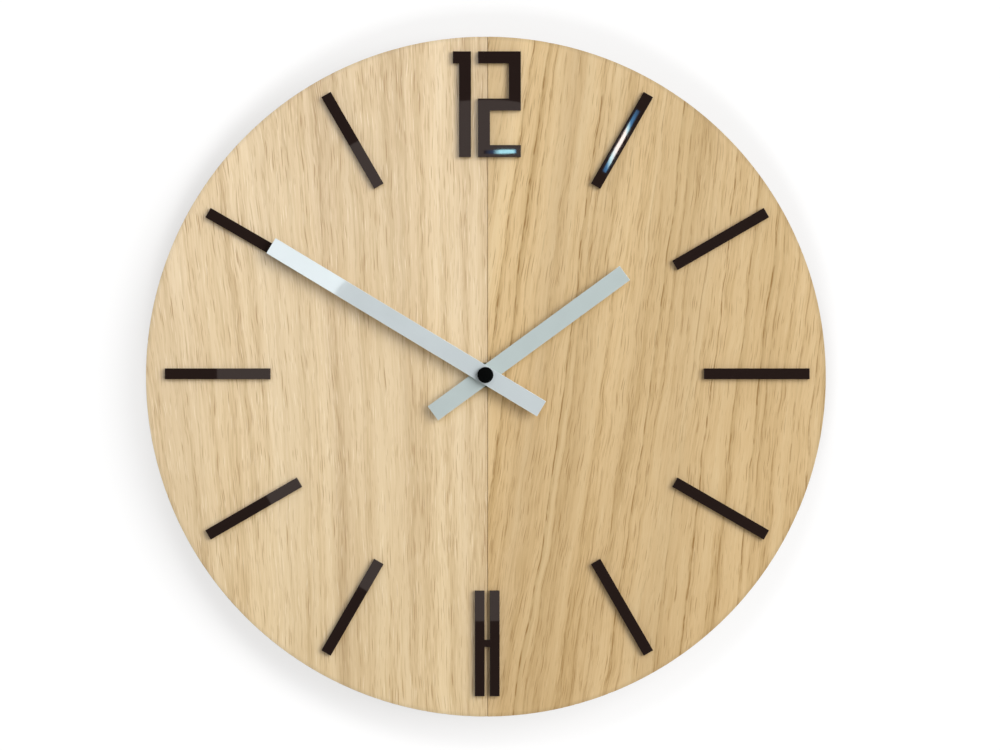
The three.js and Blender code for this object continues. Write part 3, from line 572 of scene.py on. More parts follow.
def dashes(tree, across, along, cell, empty):
    """Short marks along the grain, one in each cell, but for a share of cells that stay empty."""
    width, length = cell
    sockets = {"X": maths(tree, "DIVIDE", across, width), "Y": maths(tree, "DIVIDE", along, length)}
    place = add(tree, "CombineXYZ", sockets).outputs[0]
    cells = add(tree, "TexVoronoi", {"Vector": place, "Scale": 1}, voronoi_dimensions="2D").outputs
    luck = parts(tree, cells["Color"])
    shown = maths(tree, "GREATER_THAN", luck["X"], empty)
    strength = maths(tree, "MULTIPLY_ADD", luck["Y"], 1 - DASH_FAINTEST, DASH_FAINTEST)
    mark = between(tree, cells["Distance"], DASH_CORE, DASH_EDGE, 1, 0)
    return maths(tree, "MULTIPLY", mark, maths(tree, "MULTIPLY", shown, strength))


def pores_and_flecks(tree, across, along, layers, early):
    """Pores of three sizes, and pale flecks."""
    length = maths(tree, "DIVIDE", along, oak_in["Pore length"])
    empty = between(tree, layers, *LAYER_VALUES, *EMPTY_IN_LAYERS)
    empty = maths(tree, "MULTIPLY_ADD", early, -EARLY_FILLS, empty)
    kinds = [(LARGE_PORE, empty), (MEDIUM_PORE, empty), (SMALL_PORE, EMPTY_SMALL), (FLECK, EMPTY_FLECKS)]
    made = []
    for aside, (cell, share) in enumerate(kinds):  # in metres, so that no two kinds line up
        made.append(dashes(tree, maths(tree, "ADD", across, aside), length, cell, share))
    large, medium, small, flecks = made
    small = maths(tree, "MULTIPLY", small, SMALL_STRENGTH)
    return maths(tree, "MAXIMUM", large, maths(tree, "MAXIMUM", medium, small)), flecks


print("a large pore is at most", round(LARGE_PORE[0] / MM * DASH_EDGE * 2, 2), "mm wide")

# %% [markdown]
# The group now joins them. Fibres and layers are noises stretched along the grain, and together
# they are the tone of the wood. The bands are wider still, and the porous wood darkens them.

# %% Oak figure
BANDS = (42, 16)  # streaks to a metre, and how many times longer than wide they are
LAYERS = (150, 40)
FIBRES = (1300, 30)
LAYER_SHARE = 0.6  # of the layers in the tone, beside the fibres
EARLY_DARKENS = 0.22


def build_oak_figure(tree):
    """Fills the group."""
    across, along, unseeded = grain_coordinates(tree)
    grain = add(tree, "CombineXYZ", {"X": across, "Z": along}).outputs[0]
    layers = streaks(tree, grain, *LAYERS)
    fibres = maths(tree, "MULTIPLY", streaks(tree, grain, *FIBRES), 1 - LAYER_SHARE)
    early, rings = year_lines(tree, across, grain)
    pores, flecks = pores_and_flecks(tree, across, along, layers, early)
    results = {
        "Across": unseeded,
        "Tone": maths(tree, "MULTIPLY_ADD", layers, LAYER_SHARE, fibres),
        "Bands": maths(tree, "MULTIPLY_ADD", early, -EARLY_DARKENS, streaks(tree, grain, *BANDS)),
        "Pores": pores,
        "Rings": rings,
        "Flecks": flecks,
        "Height": maths(tree, "MULTIPLY", maths(tree, "MAXIMUM", pores, rings), -1),
    }
    for title, value in results.items():
        tree.links.new(value, oak_out[title])


build_oak_figure(oak_figure)
print("oak figure:", len(oak_figure.nodes), "nodes")

# %% [markdown]
# ## Marks of making
# Moulded plastic has a fine grain, brushed sheet has long lines, and a turned face has rings. Each
# of these groups puts out a slow value for colour and a fine height for the relief. Scratches
# could also be drawn as meshes, but so fine a relief shows only in the gloss, and bump is enough.

# %% Moulded grain, brush marks and turning marks
FINE_ROUGHNESS = 0.6  # of the noise in grain and brush marks
MOULDED_CLOUDS = 60  # to a metre
BRUSHED_CLOUDS = 90
TURNED_CLOUDS = 220
BRUSH_LINES = (4200, 60)  # to a metre, and how many times longer than wide

moulded, moulded_in, moulded_out = new_effect("Moulded grain", {"Per metre": 3200}, ["Value", "Height"])
brushed, brushed_in, brushed_out = new_effect("Brush marks", {"Along": 0}, ["Value", "Height"])
turning, turning_in, turning_out = new_effect("Turning marks", {"Per metre": 5200}, ["Value", "Height"])


def build_moulded(tree):
    """A fine even grain, and broad clouds."""
    sockets = {0: own_place(tree), "Scale": moulded_in["Per metre"]}
    sized = add(tree, "VectorMath", sockets, operation="SCALE").outputs[0]
    tree.links.new(clouds(tree, MOULDED_CLOUDS), moulded_out["Value"])
    tree.links.new(cloudy(tree, sized, roughness=FINE_ROUGHNESS), moulded_out["Height"])


def build_brushed(tree):
    """Long thin lines, turned to any angle in the plane of the dial."""
    sockets = {"Vector": own_place(tree), "Angle": brushed_in["Along"]}
    turned = add(tree, "VectorRotate", sockets, rotation_type="Y_AXIS").outputs[0]
    tree.links.new(clouds(tree, BRUSHED_CLOUDS, detail=3), brushed_out["Value"])
    tree.links.new(streaks(tree, turned, *BRUSH_LINES, FINE_ROUGHNESS), brushed_out["Height"])


def build_turning(tree):
    """Rings around the hands' axis, on faces and on edges."""
    place = parts(tree, own_place(tree))
    flat = add(tree, "CombineXYZ", {"X": place["X"], "Y": place["Z"]}).outputs[0]
    radius = add(tree, "VectorMath", {0: flat}, operation="LENGTH").outputs["Value"]
    step = maths(tree, "ADD", radius, place["Y"])
    rings = maths(tree, "MULTIPLY", step, turning_in["Per metre"])
    rings = add(tree, "CombineXYZ", {"X": rings}).outputs[0]
    tree.links.new(clouds(tree, TURNED_CLOUDS), turning_out["Value"])
    tree.links.new(cloudy(tree, rings, detail=1), turning_out["Height"])


build_moulded(moulded)
build_brushed(brushed)
build_turning(turning)
print("marks of making:", moulded.name, brushed.name, turning.name)

# %% [markdown]
# A piece that is glued on by hand lies a fraction of a degree out of flat, and a polished piece
# shows that. Its solid has to stay where it is, so a slope in the relief stands for it. A faint
# ripple and a few specks of dust break the perfect gloss.

# %% Slight tilt
RIPPLES = 55  # to a metre
DUST_SPECKS = 2600
DUST_VALUES = (0.7, 0.78)

tilt_inputs = {"Right": 0, "Up": 0, "Ripple": 0.00001}
tilted, tilted_in, tilted_out = new_effect("Slight tilt", tilt_inputs, ["Height", "Dust"])


def build_tilted(tree):
    """A slope with a faint ripple, and specks of dust."""
    place = parts(tree, own_place(tree))
    slope = maths(tree, "MULTIPLY", place["X"], tilted_in["Right"])
    slope = maths(tree, "MULTIPLY_ADD", place["Z"], tilted_in["Up"], slope)
    height = maths(tree, "MULTIPLY_ADD", clouds(tree, RIPPLES, detail=1), tilted_in["Ripple"], slope)
    dust = between(tree, clouds(tree, DUST_SPECKS, detail=1), *DUST_VALUES)
    tree.links.new(height, tilted_out["Height"])
    tree.links.new(dust, tilted_out["Dust"])


build_tilted(tilted)
print("effects:", [group.name for group in bpy.data.node_groups])

# %% [markdown]
# ## Finishes
# Every finish starts from one Principled shader. What is the same all over, such as how metallic
# it is, is set on the shader itself, and what varies is linked to it from the effects.

# %% A plain finish to start from
NOISE_VALUES = (0.3, 0.7)  # where most of a noise lies


def finish(title, colour=(0.8, 0.8, 0.8), roughness=0.5, **sockets):
    """A material with its node tree and its shader."""
    made = bpy.data.materials.new(title)
    made.use_nodes = True
    tree = made.node_tree
    shader = tree.nodes["Principled BSDF"]
    shader.inputs["Base Color"].default_value = (*colour, 1)
    shader.inputs["Roughness"].default_value = roughness
    for name, value in sockets.items():
        shader.inputs[name.replace("_", " ")].default_value = value
    return made, tree, shader


def link(tree, value, shader, socket):
    """Lets a value that varies drive one of the shader's sockets."""
    tree.links.new(value, shader.inputs[socket])


def bumped(tree, shader, height, depth):
    """Gives the shader a relief, whose depth is in metres for a height of one."""
    bump = add(tree, "Bump", {"Height": height, "Distance": depth, "Strength": 1})
    link(tree, bump.outputs["Normal"], shader, "Normal")


def patchy(tree, value, dark, light, values=NOISE_VALUES):
    """A colour that goes from dark to light with a noise."""
    return ramp(tree, value, [(values[0], dark), (values[1], light)])


print("finishes start from a Principled shader")

# %% [markdown]
# ## Oak
# Oiled oak has no strong contrast: pale fibres, slightly darker growth bands, and short dark
# pores that follow the grain. The left leaf is pale and its grain stands upright. The right leaf
# is warmer, its grain leans to the right, and dark lines run along it. One function makes both,
# so that they stay two leaves of one wood.

# %% The finish of a leaf
PORE_DEPTH = 0.00003
OAK_ROUGHNESS = (0.56, 0.44)  # from dark to light fibres
RIM_BAND = 2.5  # width of the darker band along the rim
RIM_SHADE = (0.85, 0.85, 0.84)
PAINTED_SHADE_END = 0.75  # painted shade: the colour darkens towards the bottom of the dial, up to this share of its height
CLOUD_SHADES = [(0.2, (0.8, 0.76, 0.67)), (0.42, (0.94, 0.92, 0.88)), (0.64, (1.02, 1.02, 1.02))]

disc = solid("dial_core")
DISC_CENTRE = middle(disc)
DISC_RADIUS = (disc.right - disc.left) / 2


def rim_mask(tree):
    """Rises to one at the rim, over the band along it that is made darker."""
    place = parts(tree, own_place(tree))
    flat = add(tree, "CombineXYZ", {"X": place["X"], "Z": place["Z"]}).outputs[0]
    sockets = {0: flat, 1: at(DISC_CENTRE[0], 0, DISC_CENTRE[1])}
    away = add(tree, "VectorMath", sockets, operation="DISTANCE").outputs["Value"]
    return between(tree, away, (DISC_RADIUS - RIM_BAND) * MM, DISC_RADIUS * MM)


def share_of_disc(tree, value):
    """A place in metres from the axis as a share, from 0 at one rim to 1 at the other."""
    sockets = {"Value": value, "From Min": -DISC_RADIUS * MM, "From Max": DISC_RADIUS * MM}
    return add(tree, "MapRange", sockets).outputs["Result"]


def oak(
    title, tones, pore_colour, pore_share, fleck_colour, fleck_share, bands, foot, gloss, **figure_values
):
    """Oiled oak. Its bands are (share of the way across, level, warmth), with less blue below one. Its foot
    is the colour of a painted shade towards the bottom of the dial.
    """
    made, tree, shader = finish(title, Specular_IOR_Level=gloss)
    figure = effect(tree, oak_figure, **figure_values)
    height = parts(tree, own_place(tree))["Z"]
    band_shades = [(share, (level, level * warm, level * warm * warm)) for share, level, warm in bands]
    wood = ramp(tree, figure["Tone"], tones)
    shades = [
        ramp(tree, share_of_disc(tree, figure["Across"]), band_shades),
        ramp(tree, figure["Bands"], CLOUD_SHADES),
        # painted shade: the colour darkens towards the bottom of the dial
        ramp(tree, share_of_disc(tree, height), [(0, foot), (PAINTED_SHADE_END, WHITE)]),
        ramp(tree, rim_mask(tree), [(0, WHITE), (1, RIM_SHADE)]),
    ]
    for shade in shades:
        wood = mixed(tree, 1, wood, shade, "MULTIPLY")
    pale = maths(tree, "MULTIPLY", figure["Flecks"], fleck_share)
    wood = mixed(tree, pale, wood, (*fleck_colour, 1))
    dark = maths(tree, "MAXIMUM", maths(tree, "MULTIPLY", figure["Pores"], pore_share), figure["Rings"])
    wood = mixed(tree, dark, wood, (*pore_colour, 1))
    link(tree, wood, shader, "Base Color")
    link(tree, between(tree, figure["Tone"], *NOISE_VALUES, *OAK_ROUGHNESS), shader, "Roughness")
    bumped(tree, shader, figure["Height"], PORE_DEPTH)
    return made


print("disc:", DISC_RADIUS, "mm around", DISC_CENTRE)

# %% The two leaves' finishes
oak_left = oak(
    "oak_left",
    tones=[(0.39, linear(204, 177, 132)), (0.5, linear(220, 195, 153)), (0.61, linear(228, 205, 166))],
    pore_colour=linear(158, 118, 62),
    pore_share=0.8,
    fleck_colour=linear(242, 224, 190),
    fleck_share=0.5,
    bands=[
        (0, 0.96, 0.99), (0.05, 0.95, 0.99), (0.11, 1.05, 1), (0.19, 0.97, 1), (0.25, 1, 1),
        (0.27, 0.9, 0.98), (0.3, 0.96, 0.99), (0.34, 0.99, 1), (0.38, 0.96, 0.99), (0.42, 1.01, 1),
        (0.455, 0.99, 1), (0.47, 0.94, 0.985), (0.485, 1, 1), (0.5, 0.96, 0.98),
    ],
    # colour of the painted shade at the bottom of the dial
    foot=(0.93, 0.905, 0.82),
    gloss=0.45,
    Lean=0.0,
    Fan=0.76,
    Wander=0.012,
    Seed=3.1,
    Rings=0.3,
    Pore_length=0.9,
)
oak_right = oak(
    "oak_right",
    tones=[(0.36, linear(196, 166, 117)), (0.5, linear(212, 183, 136)), (0.64, linear(218, 192, 147))],
    pore_colour=linear(136, 97, 34),
    pore_share=0.56,
    fleck_colour=linear(228, 204, 162),
    fleck_share=0.25,
    bands=[
        (0.47, 0.97, 1), (0.5, 1.1, 1.01), (0.54, 1.08, 1), (0.575, 0.92, 0.99), (0.61, 1, 1),
        (0.65, 0.98, 1), (0.68, 1.03, 1), (0.72, 0.98, 1), (0.75, 1.02, 1), (0.79, 0.95, 1),
        (0.84, 1, 1), (0.9, 1.03, 1), (1, 1, 1),
    ],
    # colour of the painted shade at the bottom of the dial
    foot=(0.975, 0.95, 0.91),
    gloss=0.15,
    Lean=0.153,
    Fan=-0.31,
    Wander=0.014,
    Seed=7.7,
    Rings=1.0,
    Pore_length=0.8,
)
print("oak:", oak_left.name, oak_right.name)

# %% [markdown]
# ## The other finishes
# Acrylic and lacquer mirror what stands around the lens, and the slight tilt of each mark decides
# where the border between its two tones lies. Paint, moulded plastic, rubber and bare metal
# differ in colour, in gloss and in the marks of their making. Each could have a network of its
# own, but one function for each kind keeps them alike and short.

# %% Acrylic and lacquer
ACRYLIC = linear(38, 28, 25)
ACRYLIC_IOR = 1.49
ACRYLIC_RIPPLE = 0.000002  # in metres
WARM_SHINE = (1, 0.86, 0.8, 1)
POLISHED = 0.01
DUSTY = 0.3
LACQUER_METAL = 0.3
LACQUER_RIPPLE = 0.00002
LACQUER_ROUGHNESS = (0.01, 0.03)
FLAKES = 9000  # to a metre
FLAKE_VALUES = (0.35, 0.65)
FLAKE_SHADE = 0.97


def acrylic(title, right=0.0, up=0.0):
    """Polished black sheet that lies a little out of flat."""
    made, tree, shader = finish(title, ACRYLIC, POLISHED, IOR=ACRYLIC_IOR, Specular_Tint=WARM_SHINE)
    slope = effect(tree, tilted, Right=right, Up=up, Ripple=ACRYLIC_RIPPLE)
    link(tree, between(tree, slope["Dust"], 0, 1, POLISHED, DUSTY), shader, "Roughness")
    bumped(tree, shader, slope["Height"], 1)
    return made


def lacquer(title, colour):
    """Pearly lacquer with fine metal flakes."""
    made, tree, shader = finish(title, colour, LACQUER_ROUGHNESS[1], Metallic=LACQUER_METAL)
    ripple = effect(tree, tilted, Ripple=LACQUER_RIPPLE)
    flakes = effect(tree, moulded, Per_metre=FLAKES)
    pearl = patchy(tree, flakes["Value"], toned(colour, FLAKE_SHADE), colour, FLAKE_VALUES)
    link(tree, pearl, shader, "Base Color")
    link(tree, between(tree, flakes["Height"], *NOISE_VALUES, *LACQUER_ROUGHNESS), shader, "Roughness")
    bumped(tree, shader, ripple["Height"], 1)
    return made


lacquer_hour = lacquer("lacquer_hour", linear(222, 236, 235))
lacquer_minute = lacquer("lacquer_minute", linear(237, 247, 250))
print("lacquer:", lacquer_hour.name, lacquer_minute.name)

# %% Paint, rubber and moulded plastic
GRAIN_VALUES = (0.2, 0.8)
GRAIN_DARK = 0.85
GRAIN_LIGHT = 1.12
GRAIN_GLOSSIER = 0.06  # how far the roughness varies down and up
GRAIN_DULLER = 0.08


def painted(title, colour, roughness, depth, per_metre=3200, **sockets):
    """A coat or a moulded skin with a fine grain."""
    made, tree, shader = finish(title, colour, roughness, **sockets)
    grain = effect(tree, moulded, Per_metre=per_metre)
    shade = patchy(tree, grain["Value"], toned(colour, GRAIN_DARK), toned(colour, GRAIN_LIGHT))
    spread = (roughness - GRAIN_GLOSSIER, roughness + GRAIN_DULLER)
    link(tree, shade, shader, "Base Color")
    link(tree, between(tree, grain["Height"], *GRAIN_VALUES, *spread), shader, "Roughness")
    bumped(tree, shader, grain["Height"], depth)
    return made


black_paint = painted(
    "black_paint", linear(8, 9, 9), roughness=0.3, depth=0.000001, per_metre=5200, Specular_IOR_Level=0.01
)
case_plastic = painted("case_plastic", linear(38, 39, 42), roughness=0.5, depth=0.00002, per_metre=2600)
knob_plastic = painted("knob_plastic", linear(62, 64, 68), roughness=0.42, depth=0.000008)
wheel_plastic = painted("wheel_plastic", linear(230, 227, 216), roughness=0.42, depth=0.000004)
rubber = painted("rubber", linear(30, 30, 31), roughness=0.8, depth=0.00003, per_metre=1800)
magnet = painted("magnet", linear(70, 71, 75), roughness=0.5, depth=0.00001, Metallic=0.6)
battery_sleeve = painted("battery_sleeve", linear(44, 62, 92), roughness=0.28, depth=0.000004)
print("painted and moulded finishes:", len(bpy.data.materials))

# %% Metals
METAL_DULL = 0.82
METAL_ROUGHER = 0.12


def metal(title, colour, marks, roughness, depth):
    """Bare metal with the marks of its making, and duller patches."""
    made, tree, shader = finish(title, colour, roughness, Metallic=1)
    grain = effect(tree, marks)
    link(tree, patchy(tree, grain["Value"], toned(colour, METAL_DULL), colour), shader, "Base Color")
    spread = (roughness + METAL_ROUGHER, roughness)
    link(tree, between(tree, grain["Value"], *NOISE_VALUES, *spread), shader, "Roughness")
    bumped(tree, shader, grain["Height"], depth)
    return made


turned_brass = metal("turned_brass", linear(206, 172, 96), turning, roughness=0.26, depth=0.000008)
sheet_steel = metal("sheet_steel", linear(196, 198, 201), brushed, roughness=0.3, depth=0.000006)
turned_steel = metal("turned_steel", linear(200, 201, 204), turning, roughness=0.24, depth=0.000005)
copper_wire = metal("copper_wire", linear(196, 120, 74), brushed, roughness=0.34, depth=0.00002)
# a darker brass, for the washer and the fixing nut
dark_brass = metal("dark_brass", linear(104, 98, 64), turning, roughness=0.4, depth=0.000005)
print("metals:", turned_brass.name, sheet_steel.name, turned_steel.name, copper_wire.name)

# %% Fibreboard and circuit board
SPECKLE_SHARE = 0.7  # of the fine speckle, beside the larger clouds
SPECKLED_GLOSS = 0.25


def speckled(title, dark, light, roughness, per_metre, depth):
    """Pressed fibres: a fine speckle with a few larger clouds."""
    made, tree, shader = finish(title, roughness=roughness, Specular_IOR_Level=SPECKLED_GLOSS)
    grain = effect(tree, moulded, Per_metre=per_metre)
    cloud = maths(tree, "MULTIPLY", grain["Value"], 1 - SPECKLE_SHARE)
    mix = maths(tree, "MULTIPLY_ADD", grain["Height"], SPECKLE_SHARE, cloud)
    link(tree, patchy(tree, mix, dark, light), shader, "Base Color")
    bumped(tree, shader, grain["Height"], depth)
    return made


fibreboard = speckled(
    "fibreboard", linear(150, 116, 80), linear(196, 162, 118), roughness=0.85, per_metre=1500, depth=0.00006
)
circuit_green = speckled(
    "circuit_green", linear(28, 84, 48), linear(44, 112, 62), roughness=0.4, per_metre=900, depth=0.00001
)
print("finishes made:", len(bpy.data.materials))

# %% [markdown]
# ## Meshes
# A flat piece is an outline pushed back by its thickness, and a turned piece is a profile swung
# about an axis. Both could come from modifiers on a curve, but a direct mesh keeps each vertex
# where the drawing says, and lets ribs and threads cut into a turned piece.

# %% Flat and turned pieces
SMOOTH_BELOW = 35  # degrees: a sharper bend between two faces stays an edge
TURNED_SIDES = 96


def new_piece(title, vertices, faces, material):
    """A mesh object with its faces turned outwards and shaded smooth where it bends gently."""
    mesh = bpy.data.meshes.new(title)
    mesh.from_pydata(vertices, [], faces)
    shell = bmesh.new()
    shell.from_mesh(mesh)
    bmesh.ops.recalc_face_normals(shell, faces=shell.faces)
    shell.to_mesh(mesh)
    shell.free()
    mesh.shade_smooth()
    mesh.set_sharp_from_angle(angle=math.radians(SMOOTH_BELOW))
    mesh.materials.append(material)
    made = bpy.data.objects.new(title, mesh)
    bpy.context.scene.collection.objects.link(made)
    return made


def plate(title, outline, near, far, material):
    """A flat piece with its outline in x and z, between two distances from the wall."""
    count = len(outline)
    vertices = [at(x, far, z) for x, z in outline] + [at(x, near, z) for x, z in outline]
    faces = [tuple(range(count)), tuple(range(2 * count - 1, count - 1, -1))]
    faces += [(i, i + count, (i + 1) % count + count, (i + 1) % count) for i in range(count)]
    return new_piece(title, vertices, faces, material)


def turned_piece(title, profile, material, centre=(0, 0), sides=TURNED_SIDES):
    """A profile of (radius, distance) swung about an axis. A ring's profile closes on itself.

    A radius is a number or, for ribs and threads, a function of the turn from 0 to 1.
    """
    vertices = []
    rings = []
    for radius, distance in profile:
        if radius == 0:
            rings.append([len(vertices)] * sides)
            vertices.append(at(centre[0], distance, centre[1]))
            continue
        rings.append(list(range(len(vertices), len(vertices) + sides)))
        for side in range(sides):
            turn = side / sides
            reach = radius(turn) if callable(radius) else radius
            x, z = on_clock(FULL_TURN * turn, reach, centre)
            vertices.append(at(x, distance, z))
    closing = [] if profile[0][0] == 0 else rings[:1]
    faces = []
    for first, second in zip(rings, rings[1:] + closing):
        for side in range(sides):
            beyond = (side + 1) % sides
            corners = (first[side], first[beyond], second[beyond], second[side])
            faces.append(tuple(dict.fromkeys(corners)))
    return new_piece(title, vertices, faces, material)


print("a turned piece has", TURNED_SIDES, "sides, unless it says otherwise")

# %% [markdown]
# No real edge is perfectly sharp, and a broken edge catches the light. A Bevel modifier breaks
# the edges of a solid without touching its mesh, which has to stay as it was loaded. A Weld
# modifier before it joins the corners that its faces don't share yet.

# %% Broken edges, bodies and finishes
BROKEN_ABOVE = 30  # degrees: a sharper bend between two faces is an edge to break
BEVEL_STEPS = 2
WELD_REACH = 0.001


def break_edges(piece, width):
    """Rounds the edges of a piece, after joining corners that lie on each other."""
    weld = piece.modifiers.new("weld", "WELD")
    weld.merge_threshold = WELD_REACH * MM
    bevel = piece.modifiers.new("edges", "BEVEL")
    bevel.width = width * MM
    bevel.segments = BEVEL_STEPS
    bevel.limit_method = "ANGLE"
    bevel.angle_limit = math.radians(BROKEN_ABOVE)
    bevel.harden_normals = True
    bevel.use_clamp_overlap = True


def put(piece, body, slot, *nodes):
    """Fixes a new piece to its body, in the place of the solids that it stands for."""
    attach(piece, body)
    if nodes:
        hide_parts(*nodes)
    return piece


def dress(material, edge, *nodes):
    """Gives solids their finish and breaks their edges, unless the edge is zero."""
    for node in nodes:
        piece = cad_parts[node]
        piece.data.materials.clear()
        piece.data.materials.append(material)
        if edge:
            break_edges(piece, edge)


print("solids to dress:", len(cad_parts))

# %% [markdown]
# ## Dial
# The board is cut round with its veneer on. The saw leaves a few tiny chips along the rim where
# the veneer breaks out, and they show as small nicks against the white wall. Each leaf is
# therefore drawn with many points on its arc, and a few of them are set back.

# %% Rim of the veneer, with its chips
CHIP_SEED = 11
CHIP_COUNT = 26
CHIP_DEPTH = 0.3
CHIP_LEAST = 0.4  # the shallowest chip, as a share of the deepest
CHIP_SLOPE = 2.5  # a chip's half width for each millimetre of its depth
CHIP_WIDTH = 0.4  # and what is added to it
RIM_ROUGHNESS = 0.05
RIM_WAVES = 60  # of the noise, to a radius of the disc

dice = random.Random(CHIP_SEED)
chips = [(dice.uniform(0, FULL_TURN), dice.uniform(CHIP_LEAST, 1) * CHIP_DEPTH) for _ in range(CHIP_COUNT)]


def rim_radius(angle):
    """The radius of the veneer's rim, with its chips."""
    rough = noise.noise(Vector((math.sin(angle), math.cos(angle), 0)) * RIM_WAVES)
    radius = DISC_RADIUS - RIM_ROUGHNESS * (1 + rough) / 2
    for chip_angle, depth in chips:
        away = abs((angle - chip_angle + math.pi) % FULL_TURN - math.pi) * DISC_RADIUS
        radius -= depth * max(0, 1 - away / (CHIP_SLOPE * depth + CHIP_WIDTH))
    return radius


print("chips:", len(chips), "on the rim")

# %% Veneer leaves
HOLE_RADIUS = 4.25
SEAM_WIDTH = 0.2
LEAF_EDGE = 0.12
RIM_STEPS = 1100
HOLE_STEPS = 40
left_solid = solid("veneer_left")
right_solid = solid("veneer_right")
SEAM_X = (left_solid.right + right_solid.left) / 2


def leaf_outline(side):
    """The outline of one leaf: its arc, then the seam, which goes round the hole for the bush."""
    edge = SEAM_X + side * SEAM_WIDTH / 2
    points = []
    for step in range(RIM_STEPS):
        angle = side * math.pi * (step + 0.5) / RIM_STEPS
        x, z = on_clock(angle, rim_radius(angle), DISC_CENTRE)
        if side * (x - edge) > 0:
            points.append((x, z))
    top = DISC_CENTRE[1] + math.sqrt(DISC_RADIUS**2 - (edge - DISC_CENTRE[0]) ** 2)
    bottom = 2 * DISC_CENTRE[1] - top
    reach = math.acos(side * edge / HOLE_RADIUS)
    hole = []
    for step in range(HOLE_STEPS + 1):
        angle = -reach + 2 * reach * step / HOLE_STEPS
        hole.append((side * HOLE_RADIUS * math.cos(angle), HOLE_RADIUS * math.sin(angle)))
    return points + [(edge, bottom + RIM_ROUGHNESS)] + hole + [(edge, top - RIM_ROUGHNESS)]


leaves = []
for side, title, material in ((-1, "left", oak_left), (1, "right", oak_right)):
    leaf = plate("oak_leaf_" + title, leaf_outline(side), left_solid.near, left_solid.far, material)
    put(leaf, "root", "oak_" + title, "veneer_" + title)
    break_edges(leaf, LEAF_EDGE)
    leaves.append(leaf)
shown_only_to(sheen_card, "sheen_card_reach", *leaves)
print("leaves:", [leaf.name for leaf in leaves])

# %% Board
BOARD_HOLE = 5.1  # round the disc's own middle, wide enough for the bush
BOARD_INSET = 0.05  # behind the rim of the veneer
BOARD_CHAMFER = 0.4
BOARD_SIDES = 512

board_radius = DISC_RADIUS - BOARD_INSET
board_profile = [
    (BOARD_HOLE, disc.near),
    (BOARD_HOLE, disc.far),
    (board_radius, disc.far),
    (board_radius, disc.near + BOARD_CHAMFER),
    (board_radius - BOARD_CHAMFER, disc.near),
]
board = turned_piece("board", board_profile, fibreboard, DISC_CENTRE, BOARD_SIDES)
put(board, "root", "fibreboard", "dial_core")
print("board:", board_radius, "mm in radius")

# %% [markdown]
# ## Hour marks
# Bars and figures are cut from a 3 mm sheet of polished acrylic. Their solids are right as they
# are, so they only get broken edges and a finish each. Where the pale ring's image ends on a mark
# depends on how flat the mark lies, so each finish says how far outwards its tilt moves that end.

# %% Bars, figures and the six
MARK_EDGE = 0.14
IMAGE_SHIFT = 2 * RING_DISTANCE / (1 + RING_DISTANCE / VIEW_DISTANCE)  # for a slope of one
OUTWARD = {1: 0, 2: 0, 3: 0, 4: 0, 5: 0, 6: -5, 7: -5, 8: -3, 9: 6, 10: -18, 11: 5, 12: 9.4}
MARKS_BY_HOUR = {6: ["six_mark"], 12: ["numeral_1", "numeral_2"]}  # all the others are bars

for hour, outward in OUTWARD.items():
    right, up = on_clock(FULL_TURN * hour / HOURS_PER_TURN, outward / IMAGE_SHIFT)
    sheet = acrylic(f"acrylic_{hour}", right, up)
    dress(sheet, MARK_EDGE, *MARKS_BY_HOUR.get(hour, [f"hour_bar_{hour}"]))
print("hour marks:", len(OUTWARD), "finishes")

# %% [markdown]
# ## Two thin lamps
# In the photograph a bright line lies along the one o'clock bar and another along the foot of the
# "2". They are images of thin lamps behind the camera, so such lamps stand where a flat mirror
# at those places would show them, and only glossy finishes see them.

# %% Thin lamps
LAMP_WIDTH = 1.8  # of a lamp's image
LAMP_GAP = 20  # in front of the pale ring
LINE_ON_ONE = ((59.2, 101.4), (76.3, 132.0))  # the ends of each bright line
LINE_ON_TWO = ((-0.8, 101.9), (15.3, 102.2))
ONE_LEVEL = 30
TWO_LEVEL = 28
BLACK = (0, 0, 0)
DEEP_BLUE = (0.01, 0.04, 0.1)
BLUE = (0.05, 0.2, 0.42)
PALE_BLUE = (0.5, 0.85, 1)
CYAN = (0.36, 0.82, 1)
ONE_COLOURS = [
    (0, DEEP_BLUE), (0.12, BLUE), (0.22, PALE_BLUE), (0.4, WHITE),
    (0.6, WHITE), (0.68, PALE_BLUE), (0.76, BLUE), (1, DEEP_BLUE),
]
TWO_COLOURS = [(0, BLACK), (0.3, DEEP_BLUE), (0.5, CYAN), (0.92, CYAN), (1, BLUE)]


def thin_lamp(title, line, level, stops, mirror):
    """A strip coloured along its length and given by its image on the piece that shows it."""
    start, end = Vector(line[0]), Vector(line[1])
    along = (end - start).normalized()
    side = Vector((along.y, -along.x)) * LAMP_WIDTH / 2
    made = glow_material(title, level)
    tree = made.node_tree
    across = parts(tree, add(tree, "TexCoord").outputs["Generated"])["X"]
    link(tree, ramp(tree, across, stops), tree.nodes["Emission"], "Color")
    ends = (start - side, end - side, end + side, start + side)
    corners = [mirrored(place.x, place.y, RING_DISTANCE - LAMP_GAP) for place in ends]
    lamp = only_mirrored(panel(title, corners, made))
    shown_only_to(lamp, title + "_reach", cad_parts[mirror])
    return lamp


lamp_by_one = thin_lamp("lamp_by_one", LINE_ON_ONE, ONE_LEVEL, ONE_COLOURS, "hour_bar_1")
lamp_by_two = thin_lamp("lamp_by_two", LINE_ON_TWO, TWO_LEVEL, TWO_COLOURS, "numeral_2")
print("thin lamps:", lamp_by_one.name, lamp_by_two.name)

# %% [markdown]
# ## Hands
# The hands are plain strips of sheet in a pearly grey lacquer, each pressed on a small collet. The
# minute hand runs in front and a cap nut holds it. The nut is turned, so its dome is drawn as a
# profile with many sides, in place of the solid's few.

